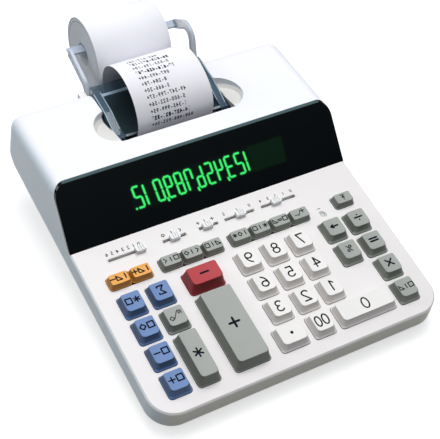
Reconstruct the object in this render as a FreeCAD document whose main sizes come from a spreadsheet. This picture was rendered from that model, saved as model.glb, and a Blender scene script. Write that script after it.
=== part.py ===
import FreeCAD, Part
import Sketcher
import math
import os
from FreeCAD import Placement, Rotation, Vector

# A desk-top printing calculator. Everything is laid out in the frame of its key deck: X across, Y towards
# the rear, Z square to the deck, with the origin on the deck's centre line at the front of the second key
# row. One placement then tilts the whole machine by the deck's slope and stands it on the table.

doc = FreeCAD.newDocument("printing_calculator")
sheet = doc.addObject("Spreadsheet::Sheet", "Sizes")

SIZES = {
    # stance
    "deck_slope": 7.0,
    "deck_lift": 24.1,
    "foot_height": 2.0,
    "foot_wide": 14.0,
    "foot_side_inset": 17.0,
    "foot_front_inset": 7.0,
    "foot_rear_inset": 41.0,
    # upper case
    "case_width": 210.0,
    "case_front": 31.0,
    "wall_depth": 14.0,
    "side_draft": 2.0,
    "front_corner": 18.0,
    "rear_corner": 10.0,
    "case_wall": 2.5,
    "slope_foot": 98.0,
    "slope_angle": 42.85,
    "slope_rise": 30.8,
    "rear_wall": 205.2,
    "rear_round": 24.0,
    "rear_round_height": 9.0,
    "shoulder": 9.0,
    "deck_edge": 1.0,
    "post_top": 1.0,
    "tool_past": 20.0,
    "opening_past": 3.0,
    "hole_past": 0.5,
    # display
    "window_thickness": 2.0,
    "tube_low": 11.5,
    "tube_tall": 20.5,
    "tube_left": -54.5,
    "tube_wide": 116.0,
    "tube_depth": 4.0,
    "tube_edge": 2.5,
    "fit_gap": 0.3,
    # lower case
    "base_wall": 2.2,
    "base_inset": 1.5,
    "base_taper": 20.0,
    "base_reach": 36.0,
    "base_rear_inset": 18.0,
    "inlet_long": 18.0,
    "inlet_rear_inset": 36.0,
    "inlet_side": 72.0,
    "inlet_drop": 27.0,
    "inlet_radius": 4.5,
    "inlet_collar": 7.5,
    # keys
    "key_wide": 15.6,
    "key_deep": 16.7,
    "key_high": 6.0,
    "big_key_high": 8.6,
    "small_key_high": 5.0,
    "small_key_deep": 9.9,
    "column_pitch": 19.7,
    "row_pitch": 19.9,
    "front_row": -20.1,
    "function_column": -91.9,
    "number_column": -8.4,
    "operator_column": 57.3,
    "operator_pitch": 19.3,
    "middle_key_left": -46.5,
    "middle_key_wide": 25.0,
    "point_key_left": -13.3,
    "zero_key_wide": 42.4,
    "small_row": 62.6,
    "small_pitch": 15.3,
    "orange_left": -91.9,
    "grey_left": -55.4,
    "long_left": -4.3,
    "feed_left": 76.9,
    "key_gap": 0.35,
    "key_corner": 0.9,
    "key_sink": 0.6,
    "side_inset": 1.8,
    "front_inset": 2.7,
    "rear_inset": 1.5,
    "big_side_inset": 2.1,
    "small_inset": 1.4,
    "small_rear_inset": 1.1,
    "key_flange": 1.0,
    "key_skin": 1.5,
    "plunger_wide": 3.4,
    "plunger_drop": 0.6,
    "skirt_depth": 0.3,
    "flange_thick": 1.2,
    # slide switches and reset button
    "slot_row": 84.6,
    "slot_wide": 2.4,
    "knob_wide": 7.0,
    "knob_deep": 4.6,
    "knob_high": 3.2,
    "neck_long": 3.2,
    "knob_foot": 8.4,
    "knob_foot_deep": 6.0,
    "rib_pitch": 1.6,
    "decimal_left": -84.0,
    "decimal_right": -58.8,
    "decimal_rest": -61.2,
    "rounding_left": -44.9,
    "rounding_right": -27.6,
    "rounding_rest": -36.3,
    "counter_left": -18.1,
    "counter_right": -3.6,
    "counter_rest": -12.1,
    "print_left": 1.2,
    "print_right": 24.0,
    "print_rest": 13.0,
    "constant_left": 29.4,
    "constant_right": 56.4,
    "constant_rest": 40.7,
    "reset_side": 65.9,
    "reset_row": 63.2,
    "reset_radius": 1.8,
    "reset_gap": 0.2,
    "reset_sink": 0.5,
    "reset_switch": 6.0,
    "switch_deep": 8.0,
    "switch_gap": 1.4,
    # board and key mat
    "board_drop": 9.7,
    "board_thick": 1.6,
    "board_half": 100.0,
    "board_front": -24.0,
    "board_rear": 93.0,
    "mat_edge": 2.0,
    "mat_thick": 1.2,
    "dome_wide": 5.0,
    "dome_high": 1.0,
    "post_wide": 5.0,
    # printer bay
    "bay_centre": -2.0,
    "bay_half": 42.9,
    "bay_front": 150.5,
    "bay_floor": 14.0,
    "bay_over": 2.0,
    "bay_wall": 2.0,
    "lip_depth": 6.0,
    "scoop_radius": 16.8,
    "scoop_offset": 38.4,
    "scoop_row": 164.4,
    "scoop_depth": 7.0,
    "scoop_edge": 2.2,
    # tear-off cover
    "cover_gap": 0.5,
    "cover_front": 157.3,
    "cover_skin": 1.6,
    "rail_wide": 6.0,
    "rail_front_height": 19.5,
    "rail_rear_height": 24.7,
    "rail_knee": 180.0,
    "trough_radius": 40.0,
    "trough_front_height": 22.4,
    "trough_rear": 193.2,
    "hinge_row": 201.3,
    "hinge_height": 18.0,
    "hinge_pin": 1.5,
    "hinge_play": 0.05,
    "cover_rear_gap": 0.8,
    "cover_step": 1.2,
    "cover_step_run": 14.0,
    "cover_step_drop": 0.8,
    "pin_length": 2.2,
    # printing mechanism
    "frame_half": 36.0,
    "frame_plate": 1.6,
    "frame_base": -9.0,
    "frame_front": 127.4,
    "frame_rear": 9.0,
    "frame_post": 7.0,
    "frame_post_drop": 40.0,
    "roller_row": 163.9,
    "roller_height": 4.0,
    "roller_radius": 7.0,
    "shaft_radius": 2.0,
    "drum_radius": 7.5,
    "ink_radius": 6.0,
    "gear_module": 0.8,
    "gear_thick": 3.0,
    "pressure_angle": 20.0,
    "gear_root": 1.2,
    "gear_tip": 0.8,
    "backlash": 0.16,
    "drum_teeth": 21,
    "pinion_teeth": 12,
    "motor_radius": 10.5,
    "motor_length": 26.0,
    "gear_side_gap": 1.4,
    "outboard_gap": 7.4,
    "outboard_rise": 8.0,
    "frame_rise": 9.5,
    "frame_slant": 3.0,
    "ink_angle": 160.0,
    "pinion_angle": 206.0,
    "drum_over": 1.0,
    "shaft_over": 1.5,
    "motor_shaft": 1.5,
    "motor_bore_depth": 8.0,
    # paper
    "paper_centre": -1.8,
    "paper_wide": 57.0,
    "paper_thick": 0.3,
    "roll_row": 244.2,
    "roll_height": 13.2,
    "roll_radius": 26.8,
    "roll_hole": 8.25,
    "inlet_side_gap": 1.5,
    "inlet_under": 2.0,
    "inlet_tall": 3.2,
    "web_gap": 0.7,
    "web_drop": 2.8,
    "curl_half_span": 28.2,
    "curl_rise": 24.5,
    "curl_shoulder": 20.0,
    "curl_spring": 24.0,
    "curl_end": 12.0,
    "web_bend": 10.0,
    # paper holder
    "holder_row": 209.5,
    "holder_height": 6.0,
    "holder_bar": 2.5,
    "holder_pin": 1.6,
    "arm_wide": 7.0,
    "arm_thick": 2.6,
    "left_arm": -40.9,
    "right_arm": 42.5,
    "ear_radius": 4.5,
    "ear_wide": 5.0,
    "ear_gap": 0.6,
    "low_arm_run": 7.0,
    "low_arm_rise": 8.0,
    "high_arm_run": 14.0,
    "high_arm_rise": 31.0,
    "arm_bend": 9.0,
    "arm_hub_rise": 6.0,
    "tongue_thick": 1.8,
    "tongue_deep": 7.0,
    "tongue_reach": 8.0,
    "pin_reach": 5.5,
}

for row, (name, amount) in enumerate(SIZES.items(), start=1):
    sheet.set(f"A{row}", name)
    sheet.set(f"B{row}", str(amount))
    sheet.setAlias(f"B{row}", name)
doc.recompute()


class Size:
    """A dimension that knows its value in mm and the sheet expression that it comes from."""

    def __init__(self, value, text=None):
        self.value = float(value)
        self.text = text if text else repr(float(value))

    def join(self, other, sign, value):
        return Size(value, f"({self.text} {sign} {other.text})")

    def __add__(self, other):
        other = as_size(other)
        return self.join(other, "+", self.value + other.value)

    def __sub__(self, other):
        other = as_size(other)
        return self.join(other, "-", self.value - other.value)

    def __mul__(self, other):
        other = as_size(other)
        return self.join(other, "*", self.value * other.value)

    def __truediv__(self, other):
        other = as_size(other)
        return self.join(other, "/", self.value / other.value)

    def __radd__(self, other):
        return as_size(other) + self

    def __rsub__(self, other):
        return as_size(other) - self

    def __rmul__(self, other):
        return as_size(other) * self

    def __rtruediv__(self, other):
        return as_size(other) / self

    def __neg__(self):
        return Size(0) - self


def as_size(number):
    return number if isinstance(number, Size) else Size(number)


def turned(function, angle):
    """Sine, cosine or tangent of an angle in degrees, as a Size."""
    value = getattr(math, function)(math.radians(angle.value))
    return Size(value, f"{function}({angle.text} * 1 deg)")


class Sheet:
    """The named cells of the sheet, each as a Size."""

    def __getattr__(self, name):
        return Size(sheet.get(name), f"Sizes.{name}")


s = Sheet()
nodes = {}


def bind(thing, property_name, size):
    thing.setExpression(property_name, as_size(size).text)


def finish(name, thing):
    thing.Label = name
    nodes[name] = thing
    return thing


def new_body(name):
    body = doc.addObject("PartDesign::Body", name)
    return body


def new_sketch(body, name, role, lift=0):
    """A sketch on one of the body's origin planes, lifted along the plane's normal."""
    plane = next(f for f in body.Origin.OriginFeatures if f.Role == role)
    sketch = body.newObject("Sketcher::SketchObject", name)
    sketch.AttachmentSupport = [(plane, "")]
    sketch.MapMode = "FlatFace"
    sketch.AttachmentOffset = Placement(Vector(0, 0, as_size(lift).value), Rotation())
    bind(sketch, "AttachmentOffset.Base.z", lift)
    return sketch


def pin_point(sketch, curve, end, place):
    """Hold one point of a curve at a place given by two sizes."""
    for kind, size in (("DistanceX", place[0]), ("DistanceY", place[1])):
        size = as_size(size)
        index = sketch.addConstraint(Sketcher.Constraint(kind, -1, 1, curve, end, size.value))
        bind(sketch, f"Constraints[{index}]", size)


def outline(sketch, corners):
    """A closed outline through its corners. A corner (x, y, radius, centre) is reached by an arc."""
    first = sketch.GeometryCount
    points = [Vector(as_size(c[0]).value, as_size(c[1]).value, 0) for c in corners]
    count = len(corners)
    for index, corner in enumerate(corners):
        start = points[index - 1]
        end = points[index]
        if len(corner) == 4:
            centre = Vector(as_size(corner[3][0]).value, as_size(corner[3][1]).value, 0)
            radius = as_size(corner[2]).value
            middle = (start + end) * 0.5 - centre
            middle = centre + middle.normalize() * radius
            sketch.addGeometry(Part.Arc(start, middle, end))
        else:
            sketch.addGeometry(Part.LineSegment(start, end))
    for index, corner in enumerate(corners):
        here = first + index
        after = first + (index + 1) % count
        here_end = end_at(sketch, here, points[index])
        after_start = end_at(sketch, after, points[index])
        sketch.addConstraint(Sketcher.Constraint("Coincident", here, here_end, after, after_start))
        pin_point(sketch, here, here_end, corner)
        if len(corner) == 4:
            radius = as_size(corner[2])
            number = sketch.addConstraint(Sketcher.Constraint("Radius", here, radius.value))
            bind(sketch, f"Constraints[{number}]", radius)


def end_at(sketch, curve, place):
    """Which end of a curve, 1 for its start or 2 for its end, lies at a place."""
    if sketch.getPoint(curve, 1).distanceToPoint(place) < 1e-6:
        return 1
    return 2


def rectangle(sketch, left, front, wide, deep):
    left, front = as_size(left), as_size(front)
    right, rear = left + wide, front + deep
    outline(sketch, [(left, front), (right, front), (right, rear), (left, rear)])


def rounded_rectangle(sketch, left, front, wide, deep, near, far=None):
    """A rectangle with corner radius near at its front corners and far at its rear ones."""
    left, front, near = as_size(left), as_size(front), as_size(near)
    far = near if far is None else as_size(far)
    right, rear = left + wide, front + deep
    outline(sketch, [
        (right - near, front),
        (right, front + near, near, (right - near, front + near)),
        (right, rear - far),
        (right - far, rear, far, (right - far, rear - far)),
        (left + far, rear),
        (left, rear - far, far, (left + far, rear - far)),
        (left, front + near),
        (left + near, front, near, (left + near, front + near)),
    ])


def circle(sketch, across, along, radius):
    centre = Vector(as_size(across).value, as_size(along).value, 0)
    number = sketch.addGeometry(Part.Circle(centre, Vector(0, 0, 1), as_size(radius).value))
    pin_point(sketch, number, 3, (across, along))
    index = sketch.addConstraint(Sketcher.Constraint("Radius", number, as_size(radius).value))
    bind(sketch, f"Constraints[{index}]", radius)


def extrude(body, kind, sketch, length, reverse=False, middle=False, taper=None):
    """Pad or pocket a sketch of the body."""
    feature = body.newObject(f"PartDesign::{kind}", f"{body.Name}_{kind.lower()}")
    feature.Profile = sketch
    bind(feature, "Length", length)
    feature.Reversed = reverse
    feature.Midplane = middle
    if taper is not None:
        bind(feature, "TaperAngle", taper)
    return feature


def soften(body, kind, size, wanted):
    """Round or chamfer the edges of the body's last feature whose box passes the test."""
    doc.recompute()
    base = body.Tip
    names = []
    for index, edge in enumerate(base.Shape.Edges, start=1):
        if wanted(edge.BoundBox):
            names.append(f"Edge{index}")
    feature = body.newObject(f"PartDesign::{kind}", f"{body.Name}_{kind.lower()}")
    feature.Base = (base, names)
    bind(feature, {"Fillet": "Radius", "Chamfer": "Size"}[kind], size)
    doc.recompute()
    return feature


def block(name, left, front, bottom, wide, deep, tall):
    """A plain box used as a cutter or a rib."""
    box = doc.addObject("Part::Box", name)
    for property_name, size in (("Length", wide), ("Width", deep), ("Height", tall)):
        bind(box, property_name, size)
    for axis, size in (("x", left), ("y", front), ("z", bottom)):
        bind(box, f"Placement.Base.{axis}", size)
    return box


def rod(name, axis, place, radius, length):
    """A round bar that runs from a place along +X, +Y or +Z."""
    bar = doc.addObject("Part::Cylinder", name)
    bind(bar, "Radius", radius)
    bind(bar, "Height", length)
    turn = {"x": Rotation(Vector(0, 1, 0), 90), "y": Rotation(Vector(1, 0, 0), -90), "z": Rotation()}
    bar.Placement = Placement(Vector(*(as_size(p).value for p in place)), turn[axis])
    for letter, size in zip("xyz", place):
        bind(bar, f"Placement.Base.{letter}", size)
    return bar


def fused(name, pieces):
    joint = doc.addObject("Part::MultiFuse", name)
    joint.Shapes = pieces
    joint.Refine = True
    return joint


def gathered(name, pieces):
    group = doc.addObject("Part::Compound", name)
    group.Links = pieces
    return group


def cut(name, base, tool):
    rest = doc.addObject("Part::Cut", name)
    rest.Base = base
    rest.Tool = tool
    rest.Refine = True
    return rest


# Display slope: a point at a distance along the slope from its foot and at a depth below its face.
SLOPE_SIN = turned("sin", s.slope_angle)
SLOPE_COS = turned("cos", s.slope_angle)
SLOPE_TAN = turned("tan", s.slope_angle)
DECK_TAN = turned("tan", s.deck_slope)
DECK_COS = turned("cos", s.deck_slope)
SLOPE_TOP = s.slope_foot + s.slope_rise / SLOPE_TAN


def on_slope(along, depth):
    return (s.slope_foot + along * SLOPE_COS + depth * SLOPE_SIN, along * SLOPE_SIN - depth * SLOPE_COS)


def hump_height(row, inset=0):
    """Height of the hump's top, level with the table, over a place along the deck."""
    return s.slope_rise - inset / DECK_COS - (row - SLOPE_TOP) * DECK_TAN


def arc_end(radius, drop):
    """Where an arc about a centre reaches a drop below it, or its lowest point if that is higher."""
    if radius.value <= drop.value:
        return Size(0), radius
    reach = math.sqrt(radius.value ** 2 - drop.value ** 2)
    return Size(reach, f"sqrt(pow({radius.text}; 2) - pow({drop.text}; 2))"), drop


def case_form(name, inset, slope_inset):
    """The upper case's outer form, or with insets the room inside it."""
    body = new_body(name)
    plan = new_sketch(body, name + "_plan", "XY_Plane", -s.wall_depth)
    rounded_rectangle(
        plan, inset - s.case_width / 2, inset - s.case_front, s.case_width - inset * 2,
        s.case_front + s.rear_wall - inset * 2, s.front_corner - inset, s.rear_corner - inset)
    doc.recompute()
    extrude(body, "Pad", plan, s.slope_rise + s.wall_depth + s.tool_past, taper=-s.side_draft)
    above = new_sketch(body, name + "_above", "YZ_Plane")
    deck = -as_size(inset)
    foot = s.slope_foot + slope_inset / SLOPE_SIN - inset / SLOPE_TAN
    top = SLOPE_TOP + (slope_inset / SLOPE_COS - inset / DECK_COS) / (SLOPE_TAN + DECK_TAN)
    rear = s.rear_wall - inset
    radius = s.rear_round - inset
    centre = (s.rear_wall - s.rear_round, s.rear_round_height)
    under = arc_end(radius, centre[1] + s.wall_depth)
    near, far = -s.case_front - s.tool_past, s.rear_wall + s.tool_past
    low, high = -s.wall_depth - s.tool_past, s.slope_rise + s.tool_past * 2
    outline(above, [
        (near, high), (near, deck), (foot, deck), (top, hump_height(top, inset)),
        (rear, hump_height(rear, inset)), (rear, centre[1]),
        (centre[0] + under[0], centre[1] - under[1], radius, centre),
        (centre[0] + under[0], low), (far, low), (far, high)])
    doc.recompute()
    extrude(body, "Pocket", above, s.case_width + s.tool_past, middle=True)

    def shoulder(box):
        level = hump_height(as_size(box.Center.y), inset).value
        runs_back = box.YLength > 50 and abs(box.Center.z - level) < 2
        corner = box.Center.y > s.rear_wall.value - 12 and box.ZMin > s.slope_rise.value * 0.5
        return runs_back or corner

    soften(body, "Fillet", s.shoulder - inset, shoulder)
    return body


def make_outer_form():
    """The upper case's outer form with a bevel along the deck's front and side rims."""
    outer = case_form("case_outer", Size(0), Size(0))

    def rim(box):
        level = box.ZLength < 0.01 and abs(box.Center.z) < 0.01
        return level and box.Center.y < s.slope_foot.value - 1

    soften(outer, "Chamfer", s.deck_edge, rim)
    return outer


def key_places():
    """Every key: its name, left side, front side, width, depth, height and the three top insets."""
    plain = (s.key_high, s.side_inset, s.front_inset, s.rear_inset)
    big = (s.big_key_high, s.big_side_inset, s.front_inset, s.rear_inset)
    small = (s.small_key_high, s.small_inset, s.small_inset, s.small_rear_inset)
    two_rows = s.key_deep + s.row_pitch
    three_rows = s.key_deep + s.row_pitch * 2

    def row(number):
        return s.front_row + s.row_pitch * number

    keys = []

    def add(name, left, front, wide, deep, form):
        keys.append((name, left, front, wide, deep) + form)

    for number, name in enumerate(("memory_plus", "memory_minus", "memory_recall", "memory_total")):
        add("key_" + name, s.function_column, row(number), s.key_wide, s.key_deep, plain)
    second = s.function_column + s.column_pitch
    add("key_star", second, row(0), s.key_wide, two_rows, big)
    add("key_number_sign", second, row(2), s.key_wide, s.key_deep, plain)
    add("key_grand_total", second, row(3), s.key_wide, s.key_deep, plain)
    add("key_add", s.middle_key_left, row(0), s.middle_key_wide, three_rows, big)
    add("key_subtract", s.middle_key_left, row(3), s.middle_key_wide, s.key_deep, big)
    for line, digits in enumerate(("321", "654", "987"), start=1):
        for column, digit in enumerate(digits):
            left = s.number_column + s.column_pitch * column
            add("key_" + digit, left, row(line), s.key_wide, s.key_deep, plain)
    first_gap = s.column_pitch - s.key_wide
    double_left = s.number_column + s.column_pitch
    add("key_point", s.point_key_left, row(0), double_left - first_gap - s.point_key_left, s.key_deep, plain)
    add("key_double_zero", double_left, row(0), s.key_wide, s.key_deep, plain)
    add("key_zero", double_left + s.column_pitch, row(0), s.zero_key_wide, s.key_deep, plain)
    add("key_percent", s.operator_column, row(2), s.key_wide, s.key_deep, plain)
    add("key_back", s.operator_column, row(3), s.key_wide, s.key_deep, plain)
    last = s.operator_column + s.operator_pitch
    for number, name in enumerate(("clear", "multiply", "equals", "divide")):
        add("key_" + name, last, row(number), s.key_wide, s.key_deep, plain)
    small_wide = s.small_pitch - s.key_gap
    groups = (("tax", s.orange_left, 2), ("margin", s.grey_left, 3), ("memory_bank", s.long_left, 4))
    for group, start, count in groups:
        for number in range(count):
            left = start + s.small_pitch * number
            add(f"key_{group}_{number + 1}", left, s.small_row, small_wide, s.small_key_deep, small)
    add("key_feed", s.feed_left, s.small_row, small_wide, s.small_key_deep, small)
    return keys


def make_key(name, left, front, wide, deep, high, side, fore, back):
    """A hollow cap with sloped sides, a skirt in the deck's opening, a ledge below it and a plunger."""
    body = new_body(name)
    cap = body.newObject("PartDesign::AdditiveWedge", name + "_cap")
    cap.AttachmentSupport = [(next(f for f in body.Origin.OriginFeatures if f.Role == "XZ_Plane"), "")]
    cap.MapMode = "FlatFace"
    right, rear = left + wide, front + deep
    form = {
        "Xmin": left, "Xmax": right, "Zmin": -rear, "Zmax": -front, "Ymin": -s.key_sink, "Ymax": high,
        "X2min": left + side, "X2max": right - side, "Z2min": back - rear, "Z2max": -front - fore,
    }
    for property_name in ("Ymax", "Ymin", "Xmax", "Xmin", "X2max", "X2min", "Zmin", "Zmax", "Z2min", "Z2max"):
        size = form[property_name]
        setattr(cap, property_name, size.value)
        bind(cap, property_name, size)
    middle = (high - s.key_sink).value / 2
    soften(body, "Chamfer", s.key_corner, lambda box: abs(box.Center.z - middle) < 0.01 and box.ZLength > 1)
    skirt = new_sketch(body, name + "_skirt", "XY_Plane", -s.key_sink)
    rectangle(skirt, left, front, wide, deep)
    extrude(body, "Pad", skirt, s.case_wall + s.skirt_depth - s.key_sink, reverse=True)
    ledge = new_sketch(body, name + "_ledge", "XY_Plane", -s.case_wall - s.skirt_depth)
    spread = Size(0) if high.value == s.small_key_high.value else s.key_flange
    rectangle(ledge, left - spread, front - s.key_flange, wide + spread * 2, deep + s.key_flange * 2)
    extrude(body, "Pad", ledge, s.flange_thick, reverse=True)
    underside = -s.case_wall - s.skirt_depth - s.flange_thick
    hollow = new_sketch(body, name + "_hollow", "XY_Plane", underside)
    room = side + s.key_skin / 2
    rectangle(hollow, left + room, front + fore + s.key_skin / 2, wide - room * 2,
              deep - fore - back - s.key_skin)
    doc.recompute()
    extrude(body, "Pocket", hollow, high - s.key_skin - underside, reverse=True)
    stem = new_sketch(body, name + "_stem", "XY_Plane", underside - s.plunger_drop)
    rectangle(stem, left + (wide - s.plunger_wide) / 2, front + (deep + fore - back - s.plunger_wide) / 2,
              s.plunger_wide, s.plunger_wide)
    extrude(body, "Pad", stem, high - s.key_skin - underside + s.plunger_drop)
    return finish(name, body)


def slider_places():
    """Every slide switch: its name, the ends of its slot and the place of its knob at rest."""
    return [
        ("slider_decimal", s.decimal_left, s.decimal_right, s.decimal_rest),
        ("slider_rounding", s.rounding_left, s.rounding_right, s.rounding_rest),
        ("slider_counter", s.counter_left, s.counter_right, s.counter_rest),
        ("slider_print", s.print_left, s.print_right, s.print_rest),
        ("slider_constant", s.constant_left, s.constant_right, s.constant_rest),
    ]


def make_slider(name, rest):
    """A ribbed knob above the deck, a neck through the slot and a foot below the deck."""
    body = new_body(name)
    foot_top = -s.case_wall - s.fit_gap
    grip = new_sketch(body, name + "_grip", "XY_Plane", s.fit_gap)
    rectangle(grip, rest - s.knob_wide / 2, s.slot_row - s.knob_deep / 2, s.knob_wide, s.knob_deep)
    extrude(body, "Pad", grip, s.knob_high)
    soften(body, "Chamfer", s.fit_gap * 2, lambda box: box.ZLength > s.knob_high.value * 0.9)
    neck = new_sketch(body, name + "_neck", "XY_Plane", foot_top)
    neck_deep = s.slot_wide - s.fit_gap * 2
    rectangle(neck, rest - s.neck_long / 2, s.slot_row - neck_deep / 2, s.neck_long, neck_deep)
    extrude(body, "Pad", neck, s.case_wall + s.fit_gap * 2)
    foot = new_sketch(body, name + "_foot", "XY_Plane", foot_top)
    rectangle(foot, rest - s.knob_foot / 2, s.slot_row - s.knob_foot_deep / 2, s.knob_foot, s.knob_foot_deep)
    extrude(body, "Pad", foot, s.flange_thick, reverse=True)
    ribs = new_sketch(body, name + "_ribs", "XZ_Plane")
    groove = s.rib_pitch / 2
    for number in (-1, 0, 1):
        rectangle(ribs, rest + s.rib_pitch * number - groove / 2, s.knob_high + s.fit_gap - groove,
                  groove, groove * 2)
    doc.recompute()
    extrude(body, "Pocket", ribs, s.rear_wall * 2, middle=True)
    return finish(name, body)


def make_reset_button():
    body = new_body("reset_button")
    head = new_sketch(body, "reset_head", "XY_Plane", -s.case_wall - s.fit_gap)
    circle(head, s.reset_side, s.reset_row, s.reset_radius)
    extrude(body, "Pad", head, s.case_wall + s.fit_gap - s.reset_sink)
    flange = new_sketch(body, "reset_flange", "XY_Plane", -s.case_wall - s.fit_gap)
    half = s.reset_radius + s.key_flange
    rectangle(flange, s.reset_side - half, s.reset_row - half, half * 2, half * 2)
    extrude(body, "Pad", flange, s.flange_thick, reverse=True)
    return finish("reset_button", body)


def sloped_block(name, along, length, depth, thick, left, wide):
    """A block whose faces follow the display slope."""
    body = new_body(name)
    side = new_sketch(body, name + "_side", "YZ_Plane", left)
    outline(side, [on_slope(along, depth), on_slope(along + length, depth),
                   on_slope(along + length, depth + thick), on_slope(along, depth + thick)])
    doc.recompute()
    extrude(body, "Pad", side, wide)
    return body


def make_window_slab():
    """The slab under the display slope that the window takes up, from the deck to past the hump's top."""
    body = new_body("window_slab")
    side = new_sketch(body, "window_slab_side", "YZ_Plane")
    length = s.slope_rise / SLOPE_SIN + s.tool_past
    outline(side, [(s.slope_foot, Size(0)), on_slope(length, Size(0)), on_slope(length, s.window_thickness),
                   (s.slope_foot + s.window_thickness / SLOPE_SIN, Size(0))])
    doc.recompute()
    extrude(body, "Pad", side, s.case_width + s.tool_past, middle=True)
    doc.recompute()
    return body


def make_scoop(name, side, grow):
    """A round scoop tool with its floor falling towards the rear, grown by a wall or to its own size."""
    tilt = Size(math.degrees(math.asin(s.scoop_depth.value / s.scoop_radius.value / 2)))
    bowl = doc.addObject("Part::Cylinder", name)
    bind(bowl, "Radius", s.scoop_radius + grow)
    bind(bowl, "Height", s.slope_rise)
    lean = -s.deck_slope.value - tilt.value
    bowl.Placement = Placement(Vector(0, 0, 0), Rotation(Vector(1, 0, 0), lean))
    bind(bowl, "Placement.Base.x", s.bay_centre + side * s.scoop_offset)
    bind(bowl, "Placement.Base.y", s.scoop_row)
    bind(bowl, "Placement.Base.z", hump_height(s.scoop_row) - s.scoop_depth / 2 - grow)
    doc.recompute()
    return bowl


def bevelled_scoop(name, side):
    """The scoop's own tool, with its floor's edge bevelled into its wall."""
    bowl = make_scoop(name, side, Size(0))
    bevelled = doc.addObject("Part::Chamfer", name + "_bowl")
    bevelled.Base = bowl
    closed = [(index, edge) for index, edge in enumerate(bowl.Shape.Edges, start=1) if edge.isClosed()]
    floor = min(closed, key=lambda pair: pair[1].BoundBox.ZMax)[0]
    bevelled.Edges = [(floor, s.scoop_edge.value, s.scoop_edge.value)]
    return bevelled


def make_upper_case(keys, outer):
    """The moulded top: deck, walls, hump, printer bay, scoops, openings, board posts and holder ears."""
    room = case_form("case_room", s.case_wall, s.case_wall + s.window_thickness)
    bay_left = s.bay_centre - s.bay_half
    lining = [make_scoop(f"scoop_lining_{side}", side, s.bay_wall) for side in (-1, 1)]
    top = s.slope_rise + s.tool_past
    bay_long = s.rear_wall - s.bay_front
    for number, left in enumerate((bay_left - s.bay_wall, bay_left + s.bay_half * 2)):
        lining.append(block(f"bay_wall_{number + 1}", left, s.bay_front - s.bay_wall, s.bay_floor, s.bay_wall,
                            bay_long + s.bay_wall, top - s.bay_floor))
    lip_bottom = hump_height(s.bay_front) - s.lip_depth
    lining.append(block("bay_lip", bay_left - s.bay_wall, s.bay_front - s.bay_wall, lip_bottom,
                        (s.bay_half + s.bay_wall) * 2, s.bay_wall, top - lip_bottom))
    shell = cut("case_shell", outer, cut("case_hollow", room, fused("bay_lining", lining)))
    posts = []
    for number, left in enumerate((-s.board_half, s.board_half - s.post_wide)):
        for row in (s.front_row + s.row_pitch / 2, s.front_row + s.row_pitch * 3, s.board_rear - s.post_wide):
            posts.append(block(f"board_post_{len(posts)}", left, row, -s.board_drop, s.post_wide, s.post_wide,
                               s.board_drop - s.post_top))
    ears = []
    into = s.rear_wall - s.case_wall
    arm_half = s.arm_thick / 2
    ear_lefts = (s.left_arm - arm_half - s.ear_gap - s.ear_wide, s.right_arm + arm_half + s.ear_gap)
    for number, left in enumerate(ear_lefts):
        ears.append(block(f"holder_ear_{number}", left, into, s.holder_height - s.ear_radius, s.ear_wide,
                          s.holder_row + s.ear_radius - into, s.ear_radius * 2))
    solid = fused("case_with_posts", [shell] + posts + ears)

    openings = []
    low, high = -s.case_wall - s.opening_past, s.case_wall + s.opening_past * 2
    for name, left, front, wide, deep in (key[:5] for key in keys):
        if name.startswith(("key_tax_", "key_margin_", "key_memory_bank_")):
            continue
        openings.append(block(name + "_opening", left - s.key_gap, front - s.key_gap, low,
                              wide + s.key_gap * 2, deep + s.key_gap * 2, high))
    blocks = (("tax", s.orange_left, 2), ("margin", s.grey_left, 3), ("bank", s.long_left, 4))
    for name, start, count in blocks:
        openings.append(block(name + "_opening", start - s.key_gap, s.small_row - s.key_gap, low,
                              s.small_pitch * count + s.key_gap, s.small_key_deep + s.key_gap * 2, high))
    for name, left, right, rest in slider_places():
        openings.append(block(name + "_slot", left, s.slot_row - s.slot_wide / 2, low,
                              right - left, s.slot_wide, high))
    openings.append(rod("reset_hole", "z", (s.reset_side, s.reset_row, low),
                        s.reset_radius + s.reset_gap, high))
    openings.append(sloped_block("tube_opening", s.tube_low, s.tube_tall, s.window_thickness - s.hole_past,
                                 s.case_wall + s.hole_past * 2, s.tube_left, s.tube_wide))
    openings.append(block("paper_inlet", s.paper_centre - s.paper_wide / 2 - s.inlet_side_gap,
                          s.rear_wall - s.tool_past, s.roller_height - s.roller_radius - s.inlet_under,
                          s.paper_wide + s.inlet_side_gap * 2, s.tool_past * 2, s.inlet_tall))
    bay = block("bay_opening", bay_left, s.bay_front, s.bay_floor - s.bay_over, s.bay_half * 2,
                bay_long + s.tool_past, top)
    scoops = [bevelled_scoop(f"scoop_{side}", side) for side in (-1, 1)]
    pins = []
    starts = (bay_left - s.bay_wall - s.hole_past, bay_left + s.bay_half * 2 - s.hole_past)
    for number, place in enumerate(starts):
        pins.append(rod(f"hinge_hole_{number}", "x", (place, s.hinge_row, s.hinge_height),
                        s.hinge_pin + s.hinge_play, s.bay_wall + s.hole_past * 2))
    ear_holes = rod("ear_hole", "x", (s.left_arm - s.tool_past, s.holder_row, s.holder_height),
                    s.holder_pin + s.hinge_play, s.right_arm - s.left_arm + s.tool_past * 2)
    step = cut("case_with_openings", solid, gathered("deck_openings", openings))
    step = cut("case_with_window_seat", step, make_window_slab())
    step = cut("case_with_bay", step, fused("bay_cutters", [bay] + scoops))
    return finish("upper_case", cut("upper_case", step, gathered("hinge_holes", pins + [ear_holes])))


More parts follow.
